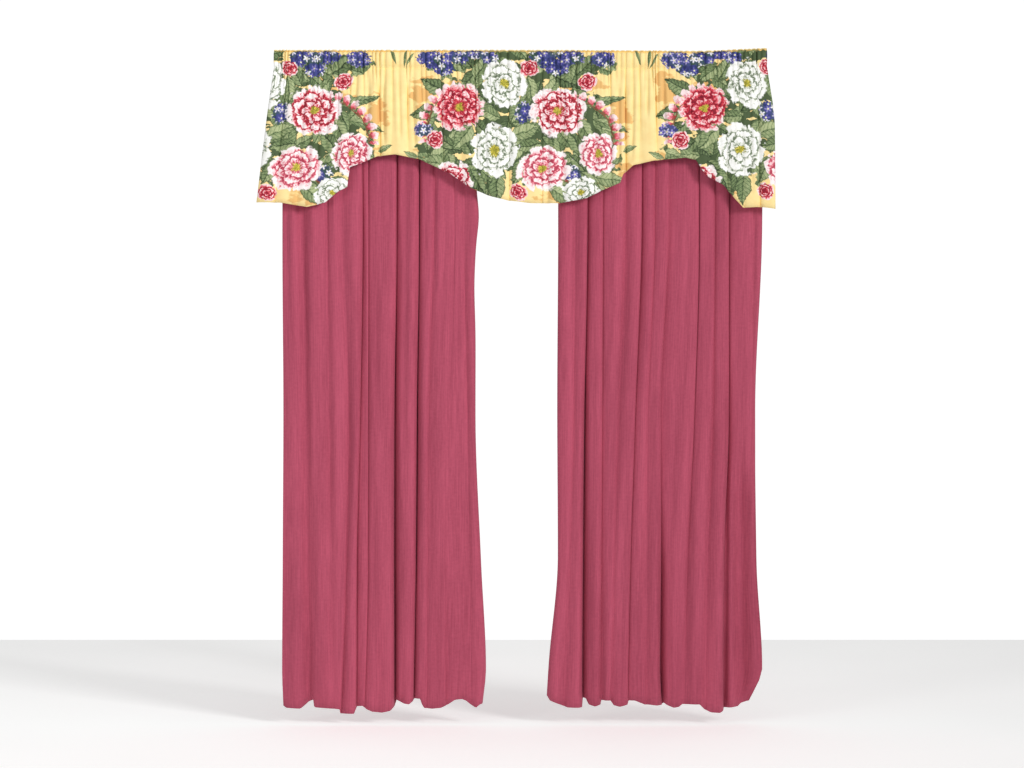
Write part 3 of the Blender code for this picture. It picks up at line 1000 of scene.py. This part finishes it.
@dataclass(frozen=True)
class PrintedCotton:
    """Glazed furnishing cotton with a generic print of garden flowers on a light yellow ground.

    The print repeats across the cloth, with a plain gap between bouquets. Its colours lie flat in
    the cloth, with a slight gloss.

    Attributes:
        ground: The ground's two yellows.
        ochre: Brushed patches beside the bouquets.
        repeat_mm: Width of the repeat.
        middle_mm: Where on the cloth the middle of a bouquet falls.
        roughness: A little less than the drapes'.
        thread_mm: Spacing of the threads, drawn coarser than the real 0.4 mm so that it shows.
        leaf_layers: Spacing and shift of each layer of small leaves, in metres and in cells.
        leaf_scatter: How unevenly they stand, from 0 to 1.
        floret_pitch: Spacing of the florets, in metres.
        floret_scatter: How unevenly they stand.
        leaf_tints: The darkest big leaf's tint, the step to the next, and how many tints there are.
        bud_petals: A flower with so many petals is a bud, and shows no heart.
    """

    ground: tuple = ("#FBDD98", "#FEE5A1")
    ochre: str = "#E9B972"
    repeat_mm: float = 785.0
    middle_mm: float = 0.0
    roughness: float = 0.72
    thread_mm: float = 1.2
    leaf_layers: tuple = ((0.062, 0.31), (0.070, 0.77))
    leaf_scatter: float = 0.75
    floret_pitch: float = 0.023
    floret_scatter: float = 0.7
    leaf_tints: tuple = (0.42, 0.07, 5)
    bud_petals: int = 4

    def motif_group(self, name: str, inputs: tuple, outputs: tuple, steps: tuple,
                    stops: tuple = ()) -> bpy.types.NodeTree:
        """Node group that works out a motif from its own coordinates.

        Args:
            name: The group's name.
            inputs: Its inputs, all plain numbers, by the names that the steps use.
            outputs: Its results, by the names that the steps use.
            steps: The formula.
            stops: If given, a ramp that turns the result "shade" into the output "Color".

        Returns:
            The group.
        """
        colour = {"Color": "Color"} if stops else {}
        tree = new_group(name, dict.fromkeys(inputs, "Float"), {**colour, **dict.fromkeys(outputs, "Float")})
        way_in = tree.nodes.new("NodeGroupInput")
        known = work_out(tree, {title: way_in.outputs[title] for title in inputs}, steps)
        ramp = add_node(tree, "ValToRGB", {"Fac": known["shade"]}, stops=stops) if stops else None
        way_out = tree.nodes.new("NodeGroupOutput")
        for title in outputs:
            tree.links.new(known[title], way_out.inputs[title])
        if ramp:
            tree.links.new(ramp.outputs["Color"], way_out.inputs["Color"])
        return tree

    def bloom_group(self) -> bpy.types.NodeTree:
        """A flower within radius 1.

        With r the distance and a the angle, both shaken by noise, three rings of petals lie on
        each other. Ring i reaches to R_i (1 - 0.24 n^4), where n is 1 between two petals and 0 in
        the middle of one. A petal's shade grows from its foot to its edge as (r / R_i)^1.5, it is
        streaked along its length, and it is darker between petals and under the ring above.

        Returns:
            The group, with the shade, the mask and the heart's mask.
        """
        steps = [
            *DISTANCE,
            ("reach", "MULTIPLY_ADD", "wobble", 0.35, "r"),
            ("reach", "MULTIPLY_ADD", "speck", 0.16, "reach"),
            ("angle", "ARCTAN2", "y", "x"),
            ("turn", "MULTIPLY", "angle", 1 / (2 * math.pi)),
            ("turn", "MULTIPLY_ADD", "wobble", 0.22, "turn"),
            ("around", "MULTIPLY", "turn", "petals"),
            ("strokes", "MULTIPLY", "around", 6.0 * math.pi),
            ("strokes", "MULTIPLY_ADD", "speck", 9.0, "strokes"),
            ("strokes", "SINE", "strokes"),
        ]
        for ring, (size, phase) in enumerate(((1.0, 0.0), (0.70, 0.5), (0.42, 0.2))):
            steps += [
                ("lap", "ADD", "around", phase),
                ("gap", "PINGPONG", "lap", 0.5),
                ("notch", "MULTIPLY_ADD", "gap", -2.0, 1.0),
                ("cut", "POWER", "notch", 4.0),
                ("rim", "MULTIPLY_ADD", "cut", -0.24 * size, size),
                ("inside", "SUBTRACT", "rim", "reach"),
                ("lid", "MULTIPLY!", "inside", 18.0),
                ("along", "DIVIDE", "reach", "rim"),
                ("along", "POWER!", "along", 1.5),
                ("tone", "MULTIPLY_ADD", "cut", -0.45, "along"),
                ("fade", "SUBTRACT!", 1.15, "along"),
                ("dash", "MULTIPLY", "strokes", "fade"),
                ("tone", "MULTIPLY_ADD", "dash", 0.22, "tone"),
            ]
            if ring:
                steps += [
                    ("under", "MULTIPLY_ADD!", "inside", 8.0, 1.0),
                    ("shade", "MULTIPLY_ADD", "under", -0.5, "shade"),
                    ("more", "SUBTRACT", "tone", "shade"),
                    ("shade", "MULTIPLY_ADD", "more", "lid", "shade"),
                ]
            else:
                steps += [("shade", "ADD", "tone", 0.0), ("mask", "ADD", "lid", 0.0)]
        steps += [
            ("shade", "MULTIPLY_ADD!", "speck", 0.5, "shade"),
            ("near", "SUBTRACT", 0.19, "reach"),
            ("heart", "MULTIPLY!", "near", 16.0),
        ]
        return self.motif_group("bloom", ("x", "y", "wobble", "speck", "petals"),
                                ("shade", "mask", "heart"), tuple(steps))

    def leaf_group(self) -> bpy.types.NodeTree:
        """A leaf whose midrib runs from x = -1 at its stalk to x = 1 at its tip.

        Its half width is (1 - x^2) (0.46 - 0.12 x), with a tooth at each side vein. It is dark
        along its outline, its midrib and its side veins, and lighter on one half.

        Returns:
            The group, with the colour and the mask.
        """
        return self.motif_group("leaf", ("x", "y", "wobble", "speck", "tint"), ("mask",), (
            ("y", "MULTIPLY_ADD", "wobble", 0.3, "y"),
            ("side", "ABSOLUTE", "y"),
            ("xx", "MULTIPLY", "x", "x"),
            ("lens", "SUBTRACT", 1.0, "xx"),
            ("taper", "MULTIPLY_ADD", "x", -0.12, 0.46),
            ("taper", "MAXIMUM", "taper", 0.2),
            ("half", "MULTIPLY", "lens", "taper"),
            ("slant", "MULTIPLY_ADD", "side", -0.8, "x"),
            ("slant", "MULTIPLY", "slant", 4.0),
            ("tooth", "FRACT", "slant"),
            ("half", "MULTIPLY_ADD", "tooth", 0.05, "half"),
            ("inside", "SUBTRACT", "half", "side"),
            ("mask", "MULTIPLY!", "inside", 22.0),
            ("edge", "MULTIPLY!", "inside", 9.0),
            ("upper", "GREATER_THAN", "y", 0.0),
            ("shade", "MULTIPLY_ADD", "upper", 0.22, "tint"),
            ("shade", "MULTIPLY_ADD", "speck", 0.6, "shade"),
            ("vein", "LESS_THAN", "tooth", 0.2),
            ("shade", "MULTIPLY_ADD", "vein", -0.3, "shade"),
            ("rib", "LESS_THAN", "side", 0.04),
            ("shade", "MULTIPLY_ADD", "rib", -0.35, "shade"),
            ("shade", "MULTIPLY!", "shade", "edge"),
        ), ((0.0, "#26341F"), (0.25, "#4B5E3C"), (0.55, "#7B8E60"), (0.9, "#B2BC8C")))

    def spray_group(self) -> bpy.types.NodeTree:
        """An arching stem of small bells, on a circle of radius 1.

        The stem lies where r = 1, over 80 degrees. Bells hang outside it, one each 1/32 turn, as
        ellipses that are red at the stem and white at the lip.

        Returns:
            The group, with the colour and the mask.
        """
        return self.motif_group("spray", ("x", "y", "wobble", "speck"), ("mask",), (
            *DISTANCE,
            ("out", "SUBTRACT", "r", 1.0),
            ("out", "MULTIPLY_ADD", "wobble", 0.10, "out"),
            ("angle", "ARCTAN2", "y", "x"),
            ("turn", "MULTIPLY", "angle", 32 / (2 * math.pi)),
            ("far", "ABSOLUTE", "turn"),
            ("here", "LESS_THAN", "far", 4.0),
            ("turn", "MULTIPLY_ADD", "speck", 0.4, "turn"),
            ("bell", "PINGPONG", "turn", 0.5),
            ("wide", "DIVIDE", "bell", 0.42),
            ("wide", "POWER", "wide", 2.0),
            ("hang", "SUBTRACT", "out", 0.13),
            ("hang", "DIVIDE", "hang", 0.14),
            ("hang", "MULTIPLY", "hang", "hang"),
            ("oval", "ADD", "wide", "hang"),
            ("bells", "SUBTRACT", 1.0, "oval"),
            ("bells", "MULTIPLY!", "bells", 5.0),
            ("stem", "ABSOLUTE", "out"),
            ("stem", "LESS_THAN", "stem", 0.016),
            ("mask", "MAXIMUM", "bells", "stem"),
            ("mask", "MULTIPLY", "mask", "here"),
            ("shade", "MULTIPLY", "out", 5.0),
            ("shade", "MULTIPLY_ADD", "speck", 1.0, "shade"),
        ), ((0.1, "#7C5A3C"), (0.25, "#C33443"), (0.55, "#E68592"), (0.95, "#FAE4E4")))

    def lattice_group(self, pitch: float, shift: float, uneven: float) -> bpy.types.NodeTree:
        """An uneven lattice on the cloth: each place, its nearest point and that point's dice.

        Args:
            pitch: Spacing, in metres.
            shift: Moves the lattice.
            uneven: From 0, regular, to 1.

        Returns:
            The group.
        """
        tree = new_group("lattice", {}, {"Place": "Vector", "Point": "Vector", "Dice": "Color"})
        threads = add_node(tree, "UVMap", uv_map=CLOTH_MAP)
        moved = add_node(tree, "Mapping", {
            "Vector": threads.outputs["UV"], "Location": (shift, shift * 0.7, 0),
            "Scale": (1 / pitch, 1 / pitch, 1)})
        cells = add_node(tree, "TexVoronoi", {"Vector": moved.outputs[0], "Scale": 1.0, "Randomness": uneven},
                         voronoi_dimensions="2D")
        way_out = tree.nodes.new("NodeGroupOutput")
        tree.links.new(moved.outputs[0], way_out.inputs["Place"])
        tree.links.new(cells.outputs["Position"], way_out.inputs["Point"])
        tree.links.new(cells.outputs["Color"], way_out.inputs["Dice"])
        return tree

    def threads_group(self) -> bpy.types.NodeTree:
        """The cloth's own map as a plain vector.

        Returns:
            The group.
        """
        tree = new_group("threads", {}, {"Place": "Vector"})
        threads = add_node(tree, "UVMap", uv_map=CLOTH_MAP)
        way_out = tree.nodes.new("NodeGroupOutput")
        tree.links.new(threads.outputs["UV"], way_out.inputs["Place"])
        return tree

    def local(self, tree: bpy.types.NodeTree, known: dict, place: Place) -> dict:
        """A motif's own coordinates: moved to its place, turned back and divided by its size.

        Args:
            tree: The material's tree.
            known: Has x and y on the repeat, and the noise.
            place: The motif's place.

        Returns:
            Its x, y, wobble and speck.
        """
        cos, sin = math.cos(math.radians(place.turn)), math.sin(math.radians(place.turn))
        across, up = place.u * MM, -place.down * MM
        length, width = place.length * MM, place.width * MM
        own = work_out(tree, {"x": known["x"], "y": known["y"]}, (
            ("lx", "MULTIPLY_ADD", "y", sin / length, -(across * cos + up * sin) / length),
            ("lx", "MULTIPLY_ADD", "x", cos / length, "lx"),
            ("ly", "MULTIPLY_ADD", "y", cos / width, (across * sin - up * cos) / width),
            ("ly", "MULTIPLY_ADD", "x", -sin / width, "ly"),
        ))
        return {"x": own["lx"], "y": own["ly"], "wobble": known["wobble"], "speck": known["speck"]}

    def nearness(self, tree: bpy.types.NodeTree, known: dict, places: tuple, shake: str,
                 edge: float) -> bpy.types.NodeSocket:
        """Mask of the union of ellipses with an uneven edge.

        It is the greatest of 1 - x^2 - y^2 over the ellipses, plus noise, times edge, kept from 0
        to 1.

        Args:
            tree: The material's tree.
            known: Has x and y on the repeat, and the noise.
            places: The ellipses.
            shake: Name of the noise that is added.
            edge: How sharp the edge is.

        Returns:
            The mask.
        """
        best = -9.0
        for place in places:
            own = self.local(tree, known, place)
            best = work_out(tree, {"x": own["x"], "y": own["y"], "best": best}, (
                *SQUARE,
                ("in", "SUBTRACT", 1.0, "rr"),
                ("best", "MAXIMUM", "best", "in"),
            ))["best"]
        return work_out(tree, {"best": best, "shake": known[shake]}, (
            ("shaken", "ADD", "best", "shake"), ("mask", "MULTIPLY!", "shaken", edge)))["mask"]

    def lay(self, tree: bpy.types.NodeTree, under: object, over: object,
            mask: bpy.types.NodeSocket) -> bpy.types.NodeSocket:
        """Lay one colour over another where the mask is 1."""
        node = add_node(tree, "Mix", {0: mask, 6: under, 7: over}, data_type="RGBA")
        return node.outputs[2]

    def near_point(self, tree: bpy.types.NodeTree, pitch: float, shift: float, uneven: float) -> dict:
        """Place beside the nearest point of a lattice, turned by that point's own angle.

        Args:
            tree: The material's tree.
            pitch: Spacing, in metres.
            shift: Moves the lattice.
            uneven: From 0, regular, to 1.

        Returns:
            Its x and y in cells, and two dice.
        """
        cells = add_node(tree, "Group", node_tree=self.lattice_group(pitch, shift, uneven))
        here = add_node(tree, "SeparateXYZ", {"Vector": cells.outputs["Place"]})
        point = add_node(tree, "SeparateXYZ", {"Vector": cells.outputs["Point"]})
        dice = add_node(tree, "SeparateColor", {"Color": cells.outputs["Dice"]})
        return work_out(tree, {"hx": here.outputs["X"], "hy": here.outputs["Y"], "px": point.outputs["X"],
                               "py": point.outputs["Y"], "dice": dice.outputs[0], "tint": dice.outputs[1]}, (
            ("dx", "SUBTRACT", "hx", "px"),
            ("dy", "SUBTRACT", "hy", "py"),
            ("turn", "MULTIPLY", "dice", 6.3),
            ("cos", "COSINE", "turn"),
            ("sin", "SINE", "turn"),
            ("a", "MULTIPLY", "dx", "cos"),
            ("x", "MULTIPLY_ADD", "dy", "sin", "a"),
            ("b", "MULTIPLY", "dx", "sin"),
            ("c", "MULTIPLY", "dy", "cos"),
            ("y", "SUBTRACT", "c", "b"),
        ))

    def thicket(self, tree: bpy.types.NodeTree, known: dict, leaf: bpy.types.NodeTree,
                colour: bpy.types.NodeSocket, cover: bpy.types.NodeSocket, pitch: float,
                shift: float) -> bpy.types.NodeSocket:
        """Lay small leaves over a colour, one at each point of an uneven lattice.

        Args:
            tree: The material's tree.
            known: Has the noise.
            leaf: The leaf's group.
            colour: What lies under them.
            cover: Where they grow.
            pitch: Spacing of the lattice, in metres.
            shift: Moves the lattice.

        Returns:
            The colour with the leaves on it.
        """
        near = self.near_point(tree, pitch, shift, self.leaf_scatter)
        work_out(tree, near, (
            ("x", "MULTIPLY", "x", 1.7),
            ("y", "MULTIPLY", "y", 1.5),
            ("tint", "MULTIPLY_ADD", "tint", 0.4, 0.3),
        ))
        own = {title: near[title] for title in ("x", "y", "tint")}
        own.update({title: known[title] for title in ("wobble", "speck")})
        one = add_node(tree, "Group", own, node_tree=leaf)
        mask = work_out(tree, {"leaf": one.outputs["mask"], "cover": cover}, (
            ("mask", "MULTIPLY", "leaf", "cover"),))["mask"]
        return self.lay(tree, colour, one.outputs["Color"], mask)

    def florets(self, tree: bpy.types.NodeTree, colour: bpy.types.NodeSocket,
                cover: bpy.types.NodeSocket) -> bpy.types.NodeSocket:
        """Lay small five-petalled florets, blue, violet or white, over a dark blue ground.

        A floret reaches to 0.42 + 0.14 cos(5 a) of its cell, and its eye to 0.13.

        Args:
            tree: The material's tree.
            colour: What lies under them.
            cover: Where they grow.

        Returns:
            The colour with the florets on it.
        """
        near = self.near_point(tree, self.floret_pitch, 0.0, self.floret_scatter)
        near["cover"] = cover
        work_out(tree, near, (
            *DISTANCE,
            ("angle", "ARCTAN2", "y", "x"),
            ("angle", "MULTIPLY", "angle", 5.0),
            ("wave", "COSINE", "angle"),
            ("rim", "MULTIPLY_ADD", "wave", 0.14, 0.42),
            ("inside", "SUBTRACT", "rim", "r"),
            ("petal", "MULTIPLY!", "inside", 7.0),
            ("petal", "MULTIPLY", "petal", "cover"),
            ("eye", "LESS_THAN", "r", 0.13),
            ("eye", "MULTIPLY", "eye", "cover"),
            ("hue", "MULTIPLY_ADD", "wave", 0.10, "tint"),
        ))
        base = add_node(tree, "ValToRGB", {"Fac": near["hue"]}, stops=(
            (0.0, "#2C3468"), (0.4, "#42478C"), (1.0, "#3B5540")))
        colour = self.lay(tree, colour, base.outputs["Color"], cover)
        hues = add_node(tree, "ValToRGB", {"Fac": near["hue"]}, stops=(
            (0.10, "#4A4F96"), (0.40, "#7069B2"), (0.66, "#A098D0"), (0.92, "#EFEDF7")))
        colour = self.lay(tree, colour, hues.outputs["Color"], near["petal"])
        return self.lay(tree, colour, linear("#E9E4B8"), near["eye"])

    def print_colour(self, tree: bpy.types.NodeTree) -> bpy.types.NodeSocket:
        """The print, from its ground to the flowers on top.

        Every motif's sums stand before the node that lays it on, and only plain numbers and
        colours pass from one motif to the next, because the renderer holds few results at a time.

        Args:
            tree: The material's tree.

        Returns:
            The colour.
        """
        leaf, bloom, spray = self.leaf_group(), self.bloom_group(), self.spray_group()
        threads = add_node(tree, "UVMap", uv_map=CLOTH_MAP)
        noises = {}
        for title, scale, detail in (("brush", (15, 30, 1), 4.0), ("shake", (30, 30, 1), 2.0),
                                     ("grain", (130, 130, 1), 2.0)):
            moved = add_node(tree, "Mapping", {"Vector": threads.outputs["UV"], "Scale": scale})
            noise = add_node(tree, "TexNoise", {"Vector": moved.outputs[0], "Scale": 1.0, "Detail": detail},
                             noise_dimensions="2D")
            noises[title] = noise.outputs["Fac"]
        cloth = add_node(tree, "Group", node_tree=self.threads_group())
        place = add_node(tree, "SeparateXYZ", {"Vector": cloth.outputs["Place"]})
        known = work_out(tree, {"u": place.outputs["X"], "y": place.outputs["Y"], **noises}, (
            ("moved", "ADD", "u", (self.repeat_mm / 2 - self.middle_mm) * MM),
            ("x", "WRAP", "moved", self.repeat_mm * MM, 0.0),
            ("wobble", "SUBTRACT", "shake", 0.5),
            ("speck", "SUBTRACT", "grain", 0.5),
            ("rough", "MULTIPLY_ADD", "brush", 4.4, -2.5),
            ("frayed", "MULTIPLY_ADD", "speck", 1.6, "wobble"),
        ))
        ground = add_node(tree, "ValToRGB", {"Fac": known["shake"]},
                          stops=((0.3, self.ground[0]), (0.6, self.ground[1])))
        colour = ground.outputs["Color"]
        colour = self.lay(tree, colour, linear(self.ochre), self.nearness(tree, known, PATCHES, "rough", 3.0))
        cover = self.nearness(tree, known, THICKETS, "wobble", 14.0)
        shade = work_out(tree, {"cover": cover, "brush": known["brush"]}, (
            ("part", "GREATER_THAN", "brush", 0.47), ("mask", "MULTIPLY", "cover", "part")))["mask"]
        colour = self.lay(tree, colour, linear("#4B5C3B"), shade)
        for pitch, shift in self.leaf_layers:
            colour = self.thicket(tree, known, leaf, colour, cover, pitch, shift)
        darkest, step, tints = self.leaf_tints
        for i, place in enumerate(LEAVES + SPRIGS):
            own = {**self.local(tree, known, place), "tint": darkest + step * (i % tints)}
            one = add_node(tree, "Group", own, node_tree=leaf)
            colour = self.lay(tree, colour, one.outputs["Color"], one.outputs["mask"])
        for place in SPRAYS:
            one = add_node(tree, "Group", self.local(tree, known, place), node_tree=spray)
            colour = self.lay(tree, colour, one.outputs["Color"], one.outputs["mask"])
        colour = self.florets(tree, colour, self.nearness(tree, known, CLUSTERS, "frayed", 9.0))
        for kind, petals, place in BLOOMS:
            one = add_node(tree, "Group", {**self.local(tree, known, place), "petals": petals},
                           node_tree=bloom)
            hues = add_node(tree, "ValToRGB", {"Fac": one.outputs["shade"]}, stops=kind.value)
            colour = self.lay(tree, colour, hues.outputs["Color"], one.outputs["mask"])
            if petals > self.bud_petals:
                hearts = add_node(tree, "ValToRGB", {"Fac": one.outputs["shade"]}, stops=(
                    (0.0, "#8E8A2E"), (0.25, "#EBD84A"), (0.9, "#F8EE9A")))
                colour = self.lay(tree, colour, hearts.outputs["Color"], one.outputs["heart"])
        return colour

    def build(self, faded: float = 0.0) -> bpy.types.Material:
        """Make the material.

        Args:
            faded: How far the print pales towards the ground, as it does on the cloth's wrong side.

        Returns:
            A Principled surface with the print, a fine weave and a faint gloss.
        """
        name = "printed_cotton_wrong_side" if faded else "printed_glazed_cotton"
        material, cloth = new_material(name, {
            "Roughness": self.roughness, "Specular IOR Level": 0.3, "Sheen Weight": 0.05})
        tree = material.node_tree
        threads = add_node(tree, "Group", node_tree=self.threads_group())
        place = add_node(tree, "SeparateXYZ", {"Vector": threads.outputs["Place"]})
        known = {"u": place.outputs["X"], "v": place.outputs["Y"]}
        work_out(tree, known, weave(self.thread_mm))
        bump = add_node(tree, "Bump", {"Height": known["weave"], "Strength": 0.25, "Distance": 0.08 * MM})
        tree.links.new(bump.outputs["Normal"], cloth.inputs["Normal"])
        colour = self.print_colour(tree)
        if faded:
            colour = self.lay(tree, colour, linear(self.ground[1]), faded)
        tree.links.new(colour, cloth.inputs["Base Color"])
        return material


@dataclass(frozen=True)
class Lamp:
    """One big soft lamp.

    Attributes:
        name: Its name.
        at: Its place.
        towards: The point that it faces.
        power: In watts.
        spread: Angle of its beam, in degrees. A narrow one fades towards the floor.
        size: Its width and height.
    """

    name: str
    at: tuple
    towards: tuple
    power: float
    spread: float
    size: tuple = (2.4, 2.4)

    def hang(self) -> None:
        """Make the lamp at its place, turned to the point that it faces."""
        data = bpy.data.lights.new(self.name, "AREA")
        data.shape = "RECTANGLE"
        data.size, data.size_y = self.size
        data.energy = self.power
        data.spread = math.radians(self.spread)
        lamp = put_up(self.name, data)
        lamp.location = self.at
        way = np.array(self.towards, float) - np.array(self.at, float)
        flat = math.hypot(way[0], way[1])
        lamp.rotation_euler = (math.atan2(flat, -way[2]), 0.0, math.atan2(-way[0], way[1]))


@dataclass(frozen=True)
class Studio:
    """Pale floor, soft light from the front right, and the camera.

    Attributes:
        camera_at: Straight in front of the set's middle.
        lens: Focal length for a 36 mm wide sensor, which takes in 3.3 m at the origin.
        floor_z: Just below the hems.
        floor_half: Half the floor's width.
        glow: Light that the floor gives off itself, as a studio's light floor does.
        sky: Brightness of the light from all round.
        backdrop: Brightness of the white that the camera sees there.
        lamps: A large one high at the front right and a weak one at the left.
    """

    camera_at: tuple = (-0.0306, -7.8, -1.0765)
    lens: float = 85.1
    floor_z: float = -2.175
    floor_half: float = 2.6
    glow: float = 0.32
    sky: float = 0.46
    backdrop: float = 1.05
    lamps: tuple = (
        Lamp("key", (5.4, -6.6, 2.4), (-2.6, 0, 0.5), 98.0, 70),
        Lamp("fill", (-5.0, -6.4, 0.8), (-0.9, 0, -0.1), 29.4, 110),
    )

    def camera(self) -> None:
        """Stand the camera in front of the set, level and square to it."""
        data = bpy.data.cameras.new("camera")
        data.lens = self.lens
        data.sensor_width = 36.0
        data.clip_end = 60.0
        camera = put_up("camera", data)
        camera.location = self.camera_at
        camera.rotation_euler = (math.pi / 2, 0, 0)
        bpy.context.scene.camera = camera

    def light(self) -> None:
        """White all round, and the lamps."""
        world = bpy.data.worlds.new("studio")
        world.use_nodes = True
        bpy.context.scene.world = world
        tree = world.node_tree
        rays = add_node(tree, "LightPath")
        known = work_out(tree, {"seen": rays.outputs["Is Camera Ray"]}, (
            ("strength", "MULTIPLY_ADD", "seen", self.backdrop - self.sky, self.sky),))
        white = tree.nodes["Background"]
        white.inputs["Color"].default_value = (1, 1, 1, 1)
        tree.links.new(known["strength"], white.inputs["Strength"])
        for lamp in self.lamps:
            lamp.hang()
        bpy.context.scene.view_settings.view_transform = "Standard"

    def floor(self) -> None:
        """A pale matt floor, lightly mottled, that glows a little."""
        material, paint = new_material("pale_painted_floor", {
            "Roughness": 0.9, "Specular IOR Level": 0.2, "Emission Color": (1, 1, 1, 1),
            "Emission Strength": self.glow})
        tree = material.node_tree
        where = add_node(tree, "TexCoord").outputs["Object"]
        cloud = add_node(tree, "TexNoise", {"Vector": where, "Scale": 1.2, "Detail": 2.0})
        tone = add_node(tree, "ValToRGB", {"Fac": cloud.outputs["Fac"]},
                        stops=((0.2, "#F9F9F8"), (0.8, "#FEFEFD")))
        tree.links.new(tone.outputs["Color"], paint.inputs["Base Color"])
        half, z = self.floor_half, self.floor_z
        mesh = bpy.data.meshes.new("floor")
        corners = [(-half, -half, z), (half, -half, z), (half, half, z), (-half, half, z)]
        mesh.from_pydata(corners, [], [(0, 1, 2, 3)])
        mesh.materials.append(material)
        put_up("floor", mesh)


def main() -> None:
    """Build the camera and studio, then each cloth with its finish."""
    logging.basicConfig(level=logging.INFO, format="%(name)s: %(message)s")
    studio = Studio()
    studio.camera()
    studio.light()
    studio.floor()
    rose = RoseCotton().build()
    printed = PrintedCotton().build()
    wrong_side = PrintedCotton().build(faded=0.55)
    left = Drape("left_drape_cloth", "left_drape", LEFT_CREASES, LEFT_HEM, pleats=LEFT_PLEATS,
                 swell=((532, 70, 9), (760, 110, -5)), seed=3)
    right = Drape("right_drape_cloth", "right_drape", RIGHT_CREASES, RIGHT_HEM, pleats=RIGHT_PLEATS, seed=5)
    valance = Valance("valance_cloth", "valance", VALANCE_CREASES, seed=8)
    for cloth in (left, right):
        cloth.dress(cloth.build(), rose, "rose_cotton")
    valance.dress(valance.build(), printed, "printed_cotton", wrong_side)


if __name__ == "__main__":
    main()
